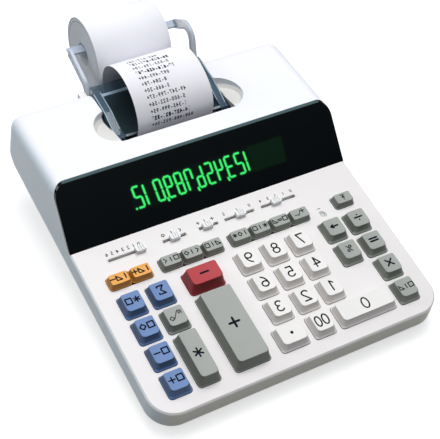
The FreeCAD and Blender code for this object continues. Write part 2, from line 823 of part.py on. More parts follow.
def base_form(name, inset):
    """The lower case's outer form, or with an inset the room inside it, cut level with the table."""
    body = new_body(name)
    plan = new_sketch(body, name + "_plan", "XY_Plane", -s.wall_depth)
    rear = s.rear_wall - s.base_rear_inset - s.base_inset
    edge = s.base_inset + inset
    rounded_rectangle(plan, edge - s.case_width / 2, edge - s.case_front, s.case_width - edge * 2,
                      rear - inset + s.case_front - edge, s.front_corner - edge, s.rear_corner)
    doc.recompute()
    extrude(body, "Pad", plan, s.base_reach, reverse=True, taper=-s.base_taper)
    below = new_sketch(body, name + "_below", "YZ_Plane")

    def table(row):
        return (s.foot_height + inset - s.deck_lift) / DECK_COS - row * DECK_TAN

    fore, aft, deep = -s.case_front - s.tool_past, s.rear_wall + s.tool_past, -s.base_reach * 2.5
    outline(below, [(fore, table(fore)), (aft, table(aft)), (aft, deep), (fore, deep)])
    doc.recompute()
    extrude(body, "Pocket", below, s.case_width + s.tool_past, middle=True)
    return body


def make_lower_case():
    """The tray under the deck: sloped sides, a floor level with the table, printer posts and cord inlet."""
    outer = base_form("base_outer", Size(0))
    room = base_form("base_room", s.base_wall)
    posts = []
    for side in (-1, 1):
        for row in (s.frame_front + s.frame_plate, s.roller_row):
            across = s.bay_centre + side * (s.frame_half - s.frame_post) - s.frame_post / 2
            posts.append(block(f"frame_post_{len(posts)}", across, row, s.frame_base - s.frame_post_drop,
                               s.frame_post, s.frame_post, s.frame_post_drop))
    rear = s.rear_wall - s.inlet_rear_inset
    collar = block("inlet_collar", s.inlet_side - s.inlet_collar, rear, -s.inlet_drop - s.inlet_collar,
                   s.inlet_collar * 2, s.inlet_long, s.inlet_collar * 2)
    shell = cut("base_shell", outer, room)
    inside = doc.addObject("Part::MultiCommon", "base_fittings")
    inside.Shapes = [outer, fused("base_posts", posts)]
    solid = fused("base_solid", [shell, inside, collar])
    past = s.inlet_long / 4
    hole = rod("inlet_hole", "y", (s.inlet_side, rear - past, -s.inlet_drop), s.inlet_radius,
               s.inlet_long + past * 2)
    return finish("lower_case", cut("lower_case", solid, hole))


def make_window(outer):
    slab = make_window_slab()
    panel = doc.addObject("Part::MultiCommon", "display_window")
    panel.Shapes = [outer, slab]
    return finish("display_window", panel)


def make_display_tube():
    """The tube's glass stands in the slope's opening and its back plate lies against the wall behind."""
    gap = s.fit_gap
    body = sloped_block("display_tube", s.tube_low + gap, s.tube_tall - gap * 2, s.window_thickness + gap,
                        s.case_wall - gap + s.tube_depth / 2, s.tube_left + gap, s.tube_wide - gap * 2)
    back = new_sketch(body, "tube_back", "YZ_Plane", s.tube_left - s.tube_edge)
    low, tall = s.tube_low - s.tube_edge, s.tube_tall + s.tube_edge * 2
    depth = s.case_wall + s.window_thickness
    behind = depth + s.tube_depth
    outline(back, [on_slope(low, depth), on_slope(low + tall, depth), on_slope(low + tall, behind),
                   on_slope(low, behind)])
    doc.recompute()
    extrude(body, "Pad", back, s.tube_wide + s.tube_edge * 2)
    return finish("display_tube", body)


def make_board():
    """The main board with the bodies of the slide switches and the reset switch on it."""
    body = new_body("main_board")
    plate = new_sketch(body, "board_plate", "XY_Plane", -s.board_drop)
    rounded_rectangle(plate, -s.board_half, s.board_front, s.board_half * 2, s.board_rear - s.board_front,
                      s.front_corner - s.case_wall, s.flange_thick)
    extrude(body, "Pad", plate, s.board_thick, reverse=True)
    switches = new_sketch(body, "board_switches", "XY_Plane", -s.board_drop)
    for name, left, right, rest in slider_places():
        rectangle(switches, left, s.slot_row - s.switch_deep / 2, right - left, s.switch_deep)
    rectangle(switches, s.reset_side - s.reset_switch / 2, s.reset_row - s.reset_switch / 2,
              s.reset_switch, s.reset_switch)
    doc.recompute()
    foot_bottom = s.case_wall + s.fit_gap + s.flange_thick
    extrude(body, "Pad", switches, s.board_drop - foot_bottom - s.switch_gap)
    return finish("main_board", body)


def make_key_mat(keys):
    """The rubber mat on the board, with a dome under each key drawn at its pressed height."""
    body = new_body("key_mat")
    mat = new_sketch(body, "mat_sheet", "XY_Plane", -s.board_drop)
    side = s.board_half - s.post_wide - s.fit_gap * 2
    front = s.board_front + s.mat_edge
    rear = s.small_row + s.small_key_deep + s.mat_edge
    rectangle(mat, -side, front, side * 2, rear - front)
    extrude(body, "Pad", mat, s.mat_thick)
    domes = new_sketch(body, "mat_domes", "XY_Plane", -s.board_drop)
    for name, left, front, wide, deep, high, across, fore, back in keys:
        rectangle(domes, left + (wide - s.dome_wide) / 2, front + (deep + fore - back - s.dome_wide) / 2,
                  s.dome_wide, s.dome_wide)
    doc.recompute()
    extrude(body, "Pad", domes, s.mat_thick + s.dome_high)
    window = new_sketch(body, "mat_window", "XY_Plane", -s.board_drop)
    room = s.reset_switch / 2 + s.fit_gap
    rectangle(window, s.reset_side - room, s.reset_row - room, room * 2, room * 2)
    doc.recompute()
    extrude(body, "Pocket", window, s.mat_thick + s.dome_high, reverse=True)
    return finish("key_mat", body)


def drum_place():
    """Row and height of the print drum: its gear meshes with the feed roller's equal gear."""
    return s.roller_row - s.gear_module * s.drum_teeth, s.roller_height


def pinion_place():
    """The pinion sits at one of the drum gear's tooth directions, below and in front of the drum."""
    reach = s.gear_module * (s.drum_teeth + s.pinion_teeth) / 2
    angle = pinion_angle()
    row, height = drum_place()
    return row + reach * turned("cos", angle), height + reach * turned("sin", angle)


def pinion_angle():
    tooth = 360 / s.drum_teeth
    return tooth * round(s.pinion_angle.value / tooth.value)


def ink_place():
    """The ink roller lies against the drum's upper front."""
    reach = s.drum_radius + s.ink_radius + s.fit_gap
    row, height = drum_place()
    return row + reach * turned("cos", s.ink_angle), height + reach * turned("sin", s.ink_angle)


def make_printer_frame():
    """Two side plates on a base, with two bearings and an open slot each, and a plate for the motor."""
    body = new_body("printer_frame")
    half = s.frame_half + s.frame_plate
    fore, aft = s.frame_front, s.roller_row + s.frame_rear
    base = new_sketch(body, "frame_floor", "XY_Plane", s.frame_base)
    rectangle(base, s.bay_centre - half, fore, half * 2 + s.outboard_gap + s.frame_plate, aft - fore)
    extrude(body, "Pad", base, s.frame_plate)
    top = s.roller_height + s.frame_rise
    for number, left in enumerate((s.bay_centre - half, s.bay_centre + s.frame_half)):
        side = new_sketch(body, f"frame_side_{number}", "YZ_Plane", left)
        outline(side, [(fore, s.frame_base), (aft, s.frame_base), (aft, s.roller_height + s.frame_slant),
                       (s.roller_row, top - s.frame_slant), (ink_place()[0] + s.ink_radius, top),
                       (fore + s.frame_slant, top), (fore, top - s.frame_slant)])
        doc.recompute()
        extrude(body, "Pad", side, s.frame_plate)
    motor_row, motor_height = pinion_place()
    outboard = new_sketch(body, "frame_outboard", "YZ_Plane", s.bay_centre + half + s.outboard_gap)
    beyond, above = motor_row + s.outboard_rise, motor_height + s.outboard_rise
    outline(outboard, [(fore, s.frame_base), (beyond, s.frame_base), (beyond, above), (fore, above)])
    doc.recompute()
    extrude(body, "Pad", outboard, s.frame_plate)
    bearings = new_sketch(body, "frame_bearings", "YZ_Plane", s.bay_centre)
    for row, height in (drum_place(), (s.roller_row, s.roller_height)):
        circle(bearings, row, height, s.shaft_radius + s.hinge_play)
    row, height = ink_place()
    half_slot = s.shaft_radius + s.hinge_play
    rectangle(bearings, row - half_slot, height - half_slot, half_slot * 2,
              top + s.hole_past - height + half_slot)
    doc.recompute()
    extrude(body, "Pocket", bearings, (half + s.hole_past) * 2, middle=True)
    motor_hole = new_sketch(body, "frame_motor_hole", "YZ_Plane", s.bay_centre + half + s.outboard_gap / 2)
    circle(motor_hole, motor_row, motor_height, s.shaft_radius)
    doc.recompute()
    extrude(body, "Pocket", motor_hole, s.outboard_gap, reverse=True)
    return finish("printer_frame", body)


def involute(angle):
    return math.tan(angle) - angle


def gear_face(teeth, turn, row, height):
    """A gear's outline in the side plane, with one tooth at the angle turn and straight flanks.

    Each flank joins the root circle to the tip circle through the ends of its involute.
    """
    module = s.gear_module.value
    pressure = math.radians(s.pressure_angle.value)
    pitch = module * teeth / 2
    base = pitch * math.cos(pressure)
    root, tip = pitch - s.gear_root.value * module, pitch + s.gear_tip.value * module
    half = math.pi / (2 * teeth) - s.backlash.value / (2 * pitch)
    flank = []
    for r in (root, tip):
        rolled = involute(math.acos(min(1.0, base / r)))
        flank.append((r, half + involute(pressure) - rolled))
    points = []
    for tooth in range(teeth):
        middle = math.radians(turn) + 2 * math.pi * tooth / teeth
        for r, angle in [(r, -a) for r, a in flank] + [(r, a) for r, a in reversed(flank)]:
            place = middle + angle
            points.append(Vector(0, row + r * math.cos(place), height + r * math.sin(place)))
    return Part.Face(Part.makePolygon(points + points[:1]))


def make_spindle(name, place, parts, gear=None):
    """A shaft along X with round parts on it: each part is its left end, its length and its radius."""
    row, height = (p.value for p in place)
    along = Vector(1, 0, 0)
    shape = None
    for left, length, radius in parts:
        bar = Part.makeCylinder(as_size(radius).value, as_size(length).value,
                                Vector(as_size(left).value, row, height), along)
        shape = bar if shape is None else shape.fuse(bar)
    if gear:
        teeth, turn, left = gear
        face = gear_face(int(teeth.value), turn.value, row, height)
        face.translate(Vector(left.value, 0, 0))
        shape = shape.fuse(face.extrude(along * s.gear_thick.value))
    spindle = doc.addObject("Part::Feature", name)
    spindle.Shape = shape.removeSplitter()
    return finish(name, spindle)


def make_mechanism():
    """Print drum, ink roller, feed roller, motor pinion and motor."""
    half = s.frame_half + s.frame_plate
    left, right = s.bay_centre - half - s.shaft_over, s.bay_centre + half
    gear_left = right + s.gear_side_gap
    shaft = (left, gear_left + s.gear_thick - left, s.shaft_radius)
    drum_wide = s.paper_wide + s.drum_over * 2
    drum_left = s.paper_centre - drum_wide / 2
    make_spindle("print_drum", drum_place(), [shaft, (drum_left, drum_wide, s.drum_radius)],
                 (s.drum_teeth, Size(0), gear_left))
    make_spindle("ink_roller", ink_place(), [(left, right - left + s.gear_side_gap / 2, s.shaft_radius),
                                             (drum_left, drum_wide, s.ink_radius)])
    make_spindle("feed_roller", (s.roller_row, s.roller_height),
                 [shaft, (drum_left, drum_wide, s.roller_radius)], (s.drum_teeth, Size(0), gear_left))
    mesh = pinion_angle() + 180 + 180 / s.pinion_teeth
    outboard = right + s.outboard_gap
    into = outboard + s.frame_plate + s.motor_bore_depth - s.shaft_radius
    make_spindle("motor_pinion", pinion_place(), [(gear_left, into - gear_left, s.motor_shaft)],
                 (s.pinion_teeth, mesh, gear_left))
    row, height = pinion_place()
    body = new_body("motor")
    face = new_sketch(body, "motor_face", "YZ_Plane", outboard + s.frame_plate)
    circle(face, row, height, s.motor_radius)
    extrude(body, "Pad", face, s.motor_length)
    bore = new_sketch(body, "motor_bore", "YZ_Plane", outboard + s.frame_plate)
    circle(bore, row, height, s.motor_shaft + s.hinge_play)
    doc.recompute()
    extrude(body, "Pocket", bore, s.motor_bore_depth, reverse=True)
    finish("motor", body)


def make_cover():
    """The smoked tear-off cover: trough, rear strip and skirt, side rails, cheeks and hinge pins."""
    body = new_body("cutter_cover")
    half = s.bay_half - s.cover_gap
    left = s.bay_centre - half
    rear = s.rear_wall - s.cover_rear_gap
    bottom = s.bay_floor
    skin = s.cover_skin
    front, flat = s.cover_front, s.rail_rear_height
    run, rise = s.trough_rear - front, flat - s.trough_front_height
    chord = math.hypot(run.value, rise.value)
    lift = math.sqrt(s.trough_radius.value ** 2 - chord ** 2 / 4)
    middle_row = (front + s.trough_rear).value / 2 - rise.value / chord * lift
    middle_height = (flat + s.trough_front_height).value / 2 + run.value / chord * lift
    over = (middle_row, middle_height)
    under = (middle_row, middle_height - skin.value)
    sheet_side = new_sketch(body, "cover_trough", "YZ_Plane", left)
    outline(sheet_side, [
        (front, s.trough_front_height), (s.trough_rear, flat, s.trough_radius, over), (rear, flat),
        (rear, bottom), (rear - skin, bottom), (rear - skin, flat - skin), (s.trough_rear, flat - skin),
        (front, s.trough_front_height - skin, s.trough_radius, under)])
    doc.recompute()
    extrude(body, "Pad", sheet_side, half * 2)
    knee, low = s.rail_knee, s.rail_front_height
    inner = s.cover_step
    for number, (edge, sign) in enumerate(((left, 1), (left + half * 2, -1))):
        away = sign < 0
        ledge = edge + (s.rail_wide - inner) * sign
        rail = new_sketch(body, f"cover_rail_{number}", "YZ_Plane", edge)
        outline(rail, [(front, low - skin), (knee, flat - skin), (rear, flat - skin), (rear, flat),
                       (knee, flat), (front, low)])
        doc.recompute()
        extrude(body, "Pad", rail, s.rail_wide, reverse=away)
        cheek = new_sketch(body, f"cover_cheek_{number}", "YZ_Plane", edge)
        outline(cheek, [(front, bottom), (rear, bottom), (rear, flat), (knee, flat), (front, low)])
        doc.recompute()
        extrude(body, "Pad", cheek, skin, reverse=away)
        step = new_sketch(body, f"cover_step_{number}", "YZ_Plane", ledge)
        outline(step, [(front, low - skin), (s.trough_rear, low - skin), (s.trough_rear, flat), (knee, flat),
                       (knee - s.cover_step_run, s.trough_front_height - s.cover_step_drop),
                       (front, s.trough_front_height)])
        doc.recompute()
        extrude(body, "Pad", step, inner, reverse=away)
        pin = new_sketch(body, f"cover_pin_{number}", "YZ_Plane", edge - s.pin_length * sign)
        circle(pin, s.hinge_row, s.hinge_height, s.hinge_pin)
        doc.recompute()
        extrude(body, "Pad", pin, s.pin_length + skin, reverse=away)
    return finish("cutter_cover", body)


def rounded_route(corners):
    """Straight runs joined by tangent arcs. Each corner is (row, height, radius), ends have radius 0."""
    points = [Vector(0, as_size(c[0]).value, as_size(c[1]).value) for c in corners]
    edges = []
    here = points[0]
    for index in range(1, len(points) - 1):
        corner = points[index]
        before = (points[index - 1] - corner).normalize()
        after = (points[index + 1] - corner).normalize()
        half = before.getAngle(after) / 2
        radius = as_size(corners[index][2]).value
        start = corner + before * (radius / math.tan(half))
        end = corner + after * (radius / math.tan(half))
        centre = corner + (before + after).normalize() * (radius / math.sin(half))
        middle = centre + (corner - centre).normalize() * radius
        if here.distanceToPoint(start) > 1e-6:
            edges.append(Part.LineSegment(here, start).toShape())
        edges.append(Part.Arc(start, middle, end).toShape())
        here = end
    edges.append(Part.LineSegment(here, points[-1]).toShape())
    return Part.Wire(edges)


def band(route, thick, left, wide):
    """A band of even thickness that follows a route in the side plane, from left, wide along X."""
    face = Part.Face(route.makeOffset2D(as_size(thick).value / 2, 0, False, False, True))
    face.translate(Vector(as_size(left).value, 0, 0))
    return face.extrude(Vector(as_size(wide).value, 0, 0))


def curl_route():
    """The tape: down from the roll, forward under the feed roller, up and over in a three-centred arch."""
    clear = s.paper_thick / 2 + s.fit_gap
    web = s.roll_row - s.roll_radius - s.paper_thick / 2 - s.web_gap
    low = s.roller_height - s.roller_radius - clear
    rise_row = s.roller_row - s.roller_radius - clear
    span, rise, small = s.curl_half_span.value, s.curl_rise.value, s.curl_shoulder.value
    crown = (span ** 2 + rise ** 2 - 2 * span * small) / (2 * (rise - small))
    lean = math.atan2(crown - rise, span - small)
    centre = Vector(0, rise_row.value + span, s.curl_spring.value)
    turn = s.roller_radius + clear
    first = Vector(0, web.value, s.roll_height.value - s.web_drop.value)
    bend = s.web_bend.value
    edges = [Part.LineSegment(first, Vector(0, web.value, low.value + bend)).toShape()]
    edges.append(quarter(Vector(0, web.value - bend, low.value + bend), bend, 0, -90))
    edges.append(Part.LineSegment(Vector(0, web.value - bend, low.value),
                                  Vector(0, s.roller_row.value, low.value)).toShape())
    edges.append(quarter(Vector(0, s.roller_row.value, s.roller_height.value), turn.value, -90, -180))
    edges.append(Part.LineSegment(Vector(0, rise_row.value, s.roller_height.value),
                                  Vector(0, rise_row.value, s.curl_spring.value)).toShape())
    top = math.degrees(lean)
    edges.append(quarter(centre - Vector(0, span - small, 0), small, 180, 180 - top))
    edges.append(quarter(centre - Vector(0, 0, crown - rise), crown, 180 - top, top))
    edges.append(quarter(centre + Vector(0, span - small, 0), small, top, 0))
    edges.append(Part.LineSegment(centre + Vector(0, span, 0),
                                  centre + Vector(0, span, s.curl_end.value - s.curl_spring.value)).toShape())
    return Part.Wire(edges)


def quarter(centre, radius, start, end):
    """An arc in the side plane about a centre, between two angles in degrees from the rear."""
    def at(angle):
        angle = math.radians(angle)
        return centre + Vector(0, math.cos(angle), math.sin(angle)) * radius
    return Part.Arc(at(start), at((start + end) / 2), at(end)).toShape()


def make_paper():
    left = s.paper_centre - s.paper_wide / 2
    tape = doc.addObject("Part::Feature", "paper_tape")
    tape.Shape = band(curl_route(), s.paper_thick, left, s.paper_wide)
    finish("paper_tape", tape)
    body = new_body("paper_roll")
    side = new_sketch(body, "roll_side", "YZ_Plane", left)
    circle(side, s.roll_row, s.roll_height, s.roll_radius)
    circle(side, s.roll_row, s.roll_height, s.roll_hole)
    doc.recompute()
    extrude(body, "Pad", side, s.paper_wide)
    finish("paper_roll", body)


def tongue(left, wide):
    """A flat tongue that lies just inside the top of the roll's hole."""
    half = s.tongue_deep / 2
    reach = math.sqrt((s.roll_hole.value - s.fit_gap.value) ** 2 - half.value ** 2)
    return Part.makeBox(wide.value, s.tongue_deep.value, s.tongue_thick.value,
                        Vector(left.value, (s.roll_row - half).value,
                               s.roll_height.value + reach - s.tongue_thick.value))


def make_holder():
    """The U-shaped roll holder: a bar hinged in the case's ears, two bent arms and a tongue on each."""
    row, height = s.holder_row, s.holder_height
    thick = s.arm_thick
    paper_left = s.paper_centre - s.paper_wide / 2
    paper_right = paper_left + s.paper_wide
    left, right = s.left_arm - thick / 2, s.right_arm + thick / 2
    along = Vector(1, 0, 0)
    half = s.holder_bar
    bar = Part.makeBox((right - left).value, half.value * 2, half.value * 2,
                       Vector(left.value, (row - half).value, (height - half).value))
    pin = Part.makeCylinder(s.holder_pin.value, (right - left + s.pin_reach * 2).value,
                            Vector((left - s.pin_reach).value, row.value, height.value), along)
    hub_row, hub_height = s.roll_row, s.roll_height + s.arm_hub_rise
    low_arm = rounded_route([(row, height, 0), (row + s.low_arm_run, height + s.low_arm_rise, s.arm_bend),
                             (hub_row, hub_height, 0)])
    high_arm = rounded_route([(row, height, 0), (row + s.high_arm_run, height + s.high_arm_rise, s.arm_bend),
                              (hub_row, hub_height, 0)])
    pieces = [pin, band(low_arm, s.arm_wide, left, thick), band(high_arm, s.arm_wide, right - thick, thick)]
    reach = s.tongue_reach
    pieces.append(tongue(left, paper_left + reach - left))
    pieces.append(tongue(paper_right - reach, right - paper_right + reach))
    holder = doc.addObject("Part::Feature", "paper_holder")
    shape = bar
    for piece in pieces:
        shape = shape.fuse(piece)
    holder.Shape = shape.removeSplitter()
    finish("paper_holder", holder)


def make_feet(stand):
    """Four rubber feet under the lower case, upright on the table."""
    feet = []
    rows = (s.foot_front_inset - s.case_front, s.rear_wall - s.foot_rear_inset - s.foot_wide)
    lefts = (s.foot_side_inset - s.case_width / 2, s.case_width / 2 - s.foot_side_inset - s.foot_wide)
    for left in lefts:
        for row in rows:
            foot = block(f"foot_{len(feet)}", left, 0, 0, s.foot_wide, s.foot_wide, s.foot_height)
            foot.setExpression("Placement.Base.y", None)
            foot.Placement.Base.y = stand.multVec(Vector(0, row.value, 0)).y
            feet.append(foot)
    return gathered("rubber_feet", feet)


def standing():
    """The placement that tilts the deck and centres the machine's box over the origin."""
    slope = math.radians(s.deck_slope.value)
    front = -s.case_front.value * math.cos(slope)
    rear = s.roll_row.value * math.cos(slope) - s.roll_height.value * math.sin(slope) + s.roll_radius.value
    return Placement(Vector(0, -(front + rear) / 2, s.deck_lift.value),
                     Rotation(Vector(1, 0, 0), s.deck_slope.value))


def main():
    keys = key_places()
    outer = make_outer_form()
    make_upper_case(keys, outer)
    make_lower_case()
    make_window(outer)
    make_display_tube()
    for key in keys:
        make_key(*key)
    for name, left, right, rest in slider_places():
        make_slider(name, rest)
    make_reset_button()
    make_board()
    make_key_mat(keys)
    make_printer_frame()
    make_mechanism()
    make_cover()
    make_paper()
    make_holder()
    doc.recompute()
    stand = standing()
    for node in nodes.values():
        node.Placement = stand.multiply(node.Placement)
    finish("rubber_feet", make_feet(stand))
    doc.recompute()
    for thing in doc.Objects:
        if "Invalid" in thing.State or "Error" in thing.State:
            raise RuntimeError(f"{thing.Name} failed: {thing.State}")
    for name, node in nodes.items():
        if node.Shape.isNull() or not node.Shape.isValid() or not node.Shape.Solids:
            raise RuntimeError(f"{name} has no valid solid")
    os.makedirs("parts", exist_ok=True)
    for name, node in nodes.items():
        node.Shape.exportStep(f"parts/{name}.step")
    print(len(nodes), "nodes written")


main()
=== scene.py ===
import math

import bpy
import numpy as np
from mathutils import Matrix, Vector


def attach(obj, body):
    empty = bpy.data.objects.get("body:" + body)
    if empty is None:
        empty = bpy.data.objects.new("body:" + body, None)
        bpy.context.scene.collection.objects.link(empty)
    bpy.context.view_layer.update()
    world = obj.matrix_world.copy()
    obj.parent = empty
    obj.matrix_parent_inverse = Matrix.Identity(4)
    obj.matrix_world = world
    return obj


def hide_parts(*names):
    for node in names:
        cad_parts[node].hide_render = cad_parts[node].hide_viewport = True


# A desk-top printing calculator. Shapes are worked out in the frame of the key deck, in millimetres: X across,
# Y towards the rear, Z square to the deck. standing() tilts them by the deck's slope onto the table, in metres.

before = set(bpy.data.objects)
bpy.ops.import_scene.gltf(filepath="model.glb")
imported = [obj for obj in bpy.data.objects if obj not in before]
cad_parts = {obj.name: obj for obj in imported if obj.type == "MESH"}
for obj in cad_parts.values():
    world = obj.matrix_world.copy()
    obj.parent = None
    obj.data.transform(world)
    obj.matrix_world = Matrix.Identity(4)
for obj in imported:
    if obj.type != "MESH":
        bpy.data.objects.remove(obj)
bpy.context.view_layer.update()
rng = np.random.default_rng(57)

CASE = "case"
DECK_SLOPE = math.radians(7.0)
DECK_COS, DECK_SIN = math.cos(DECK_SLOPE), math.sin(DECK_SLOPE)
DECK_UP = (0.0, -DECK_SIN, DECK_COS)
REAR_SHIFT = -118.401
DECK_LIFT = 24.1

# The display slope's foot, rise and angle, and the level of the hump's top above the deck frame's origin.
SLOPE_FOOT = 98.0
SLOPE_RISE = 30.8
SLOPE_ANGLE = math.radians(42.85)
SLOPE_COS, SLOPE_SIN = math.cos(SLOPE_ANGLE), math.sin(SLOPE_ANGLE)
HUMP_TOP = SLOPE_RISE * DECK_COS + (SLOPE_FOOT + SLOPE_RISE / math.tan(SLOPE_ANGLE)) * DECK_SIN

# The middle of the printer bay, the paper's middle and width, and the roll's axis, radius and hole.
BAY_CENTRE = -2.0
PAPER_CENTRE = -1.8
PAPER_WIDE = 57.0
ROLL_ROW, ROLL_HEIGHT = 244.2, 13.2
ROLL_RADIUS, ROLL_HOLE = 26.8, 8.25


def standing(points):
    """Deck millimetres to table metres: turned about X by the deck's slope, shifted and lifted."""
    x, y, z = np.moveaxis(np.asarray(points, float), -1, 0)
    row, height = y * DECK_COS - z * DECK_SIN, y * DECK_SIN + z * DECK_COS
    return np.stack([x, row + REAR_SHIFT, height + DECK_LIFT], -1) / 1000


def on_deck(points):
    """Table metres back to deck millimetres, the reverse of standing()."""
    x, y, z = np.moveaxis(np.asarray(points, float) * 1000, -1, 0)
    y, z = y - REAR_SHIFT, z - DECK_LIFT
    return np.stack([x, y * DECK_COS + z * DECK_SIN, z * DECK_COS - y * DECK_SIN], -1)


def screen(red, green, blue):
    """A screen colour of 0 to 255 as linear light, by the sRGB curve."""
    value = np.array([red, green, blue], float) / 255
    low, high = value / 12.92, ((value + 0.055) / 1.055) ** 2.4
    return (*np.where(value <= 0.04045, low, high).tolist(), 1.0)


def shaded(colour, factor):
    """A colour made darker or lighter by a factor, up to full light."""
    return (*[min(1.0, c * factor) for c in colour[:3]], 1.0)


# Finishes

# Lumps per metre of the moulding's grain and mottle, and how far the grain spreads the gloss.
GRAIN_LUMPS = 2600
MOTTLE_LUMPS = 22
GLOSS_SPREAD = 0.16
# A Mix node's colour sockets go by their numbers, because several share a name.
MIX_SHARE, MIX_FIRST, MIX_SECOND, MIX_RESULT = 0, 6, 7, 2


class Amount:
    """A number worked out by shader nodes. Python's operators on it add Math nodes."""

    def __init__(self, finish, socket):
        self.finish, self.socket = finish, socket

    def join(self, operation, *numbers):
        made = self.finish.node("Math", dict(enumerate(numbers)), operation=operation)
        return Amount(self.finish, made.outputs[0])

    def __add__(self, other):
        return self.join("ADD", self, other)

    def __sub__(self, other):
        return self.join("SUBTRACT", self, other)

    def __mul__(self, other):
        return self.join("MULTIPLY", self, other)

    def __pow__(self, other):
        return self.join("POWER", self, other)

    def __rsub__(self, other):
        return self.join("SUBTRACT", other, self)

    __radd__ = __add__
    __rmul__ = __mul__

    def most(self, other):
        return self.join("MAXIMUM", self, other)

    def size(self):
        """Its distance from nought."""
        return self.join("ABSOLUTE", self)

    def step(self, start, end):
        """0 before start and 1 after end, with a smooth turn between them."""
        made = self.finish.node("MapRange", {"Value": self, "From Min": start, "From Max": end},
                                interpolation_type="SMOOTHSTEP")
        return Amount(self.finish, made.outputs[0])

    def fall(self, start, end):
        """1 before start and 0 after end."""
        return 1 - self.step(start, end)

    def band(self, rise, fall):
        """1 between a rise and a fall, each given by its start and end, and 0 outside them."""
        return self.step(*rise) * self.fall(*fall)


class Finish:
    """A procedural material around one Principled surface. Flat values go straight onto its sockets."""

    def __init__(self, name, **flat):
        self.material = bpy.data.materials.new(name)
        self.material.use_nodes = True
        self.tree = self.material.node_tree
        self.surface = self.tree.nodes["Principled BSDF"]
        for socket, value in flat.items():
            self.surface.inputs[socket.replace("_", " ")].default_value = value
        place = self.node("TexCoord")
        self.coordinates, self.facing = place.outputs["Object"], place.outputs["Normal"]

    def node(self, kind, inputs=None, **settings):
        made = self.tree.nodes.new("ShaderNode" + kind)
        for key, value in settings.items():
            setattr(made, key, value)
        for socket, value in (inputs or {}).items():
            self.feed(made.inputs[socket], value)
        return made

    def feed(self, socket, value):
        if isinstance(value, Amount):
            value = value.socket
        if isinstance(value, bpy.types.NodeSocket):
            self.tree.links.new(value, socket)
        else:
            socket.default_value = value

    def set(self, socket, value):
        self.feed(self.surface.inputs[socket], value)

    def noise(self, scale, detail=2.0, roughness=0.5, stretch=None):
        """Noise from about 0 to 1 on Object coordinates; scale is in lumps per metre."""
        place = self.coordinates
        if stretch:
            place = self.node("Mapping", {"Vector": place, "Scale": stretch}).outputs[0]
        inputs = {"Vector": place, "Scale": scale, "Detail": detail, "Roughness": roughness}
        return Amount(self, self.node("TexNoise", inputs).outputs["Fac"])

    def split(self, vector):
        """A vector's three parts as numbers."""
        return [Amount(self, part) for part in self.node("SeparateXYZ", {0: vector}).outputs]

    def deck_axes(self):
        """Object coordinates turned back into the deck's frame, in millimetres."""
        x, y, z = self.split(self.coordinates)
        y, z = y * 1000 - REAR_SHIFT, z * 1000 - DECK_LIFT
        return x * 1000, y * DECK_COS + z * DECK_SIN, z * DECK_COS - y * DECK_SIN

    def blend(self, first, second, share):
        """A colour between two colours."""
        made = self.node("Mix", data_type="RGBA")
        for index, value in ((MIX_SHARE, share), (MIX_FIRST, first), (MIX_SECOND, second)):
            self.feed(made.inputs[index], value)
        return made.outputs[MIX_RESULT]

    def paint(self, first, second, share):
        """Sets the surface's colour between two colours."""
        self.set("Base Color", self.blend(first, second, share))

    def bump(self, height, strength, depth):
        made = self.node("Bump", {"Strength": strength, "Distance": depth, "Height": height})
        self.set("Normal", made.outputs[0])


def moulded(name, colour, roughness, grain=0.25, depth=0.00003, mottle=0.03, **flat):
    """Moulded plastic: a fine grain in the height and gloss, and a broad, faint change of tone."""
    f = Finish(name, **flat)
    fine, broad = f.noise(GRAIN_LUMPS, 2.0, 0.6), f.noise(MOTTLE_LUMPS, 3.0)
    f.paint(shaded(colour, 1 - mottle), shaded(colour, 1 + mottle), broad)
    f.set("Roughness", fine * GLOSS_SPREAD + (roughness - GLOSS_SPREAD / 2))
    f.bump(fine, grain, depth)
    return f


def ink(name, colour):
    """Printed ink: dull, and nearly without shine."""
    return moulded(name, colour, 0.7, 0.1, Specular_IOR_Level=0.12)


def metal(name, colour, roughness, stretch):
    """Rolled or turned metal: long fine scratches in the gloss and height."""
    f = Finish(name, Metallic=1.0)
    scratches, stain = f.noise(900, 4.0, 0.7, stretch), f.noise(60, 3.0)
    f.paint(shaded(colour, 0.85), shaded(colour, 1.08), stain)
    f.set("Roughness", scratches * 0.25 + (roughness - 0.1))
    f.bump(scratches, 0.2, 0.00002)
    return f


def key_plastic(name, top, side):
    """Moulded key plastic: the dished top in its own tone, and painted shade on the sloped sides and the skirt.
    """
    f = moulded(name, top, 0.48, Specular_IOR_Level=0.36)
    upward = f.node("VectorMath", {0: f.facing, 1: DECK_UP}, operation="DOT_PRODUCT")
    upward = Amount(f, upward.outputs["Value"])
    broad = f.noise(60, 3.0)
    above = f.blend(shaded(top, 0.96), shaded(top, 1.03), broad)
    # Painted shade: the sides take a darker copy of the top's colour, for the light that reaches them less.
    below = f.blend(shaded(side, 0.93), shaded(side, 1.07), broad)
    # Deeper painted shade on the skirt where it sinks into the deck's opening.
    out_of_deck = f.deck_axes()[2].step(-0.4, 0.9)
    below = f.blend(shaded(side, 0.45), below, out_of_deck)
    f.paint(below, above, upward.step(0.30, 0.86))
    return f


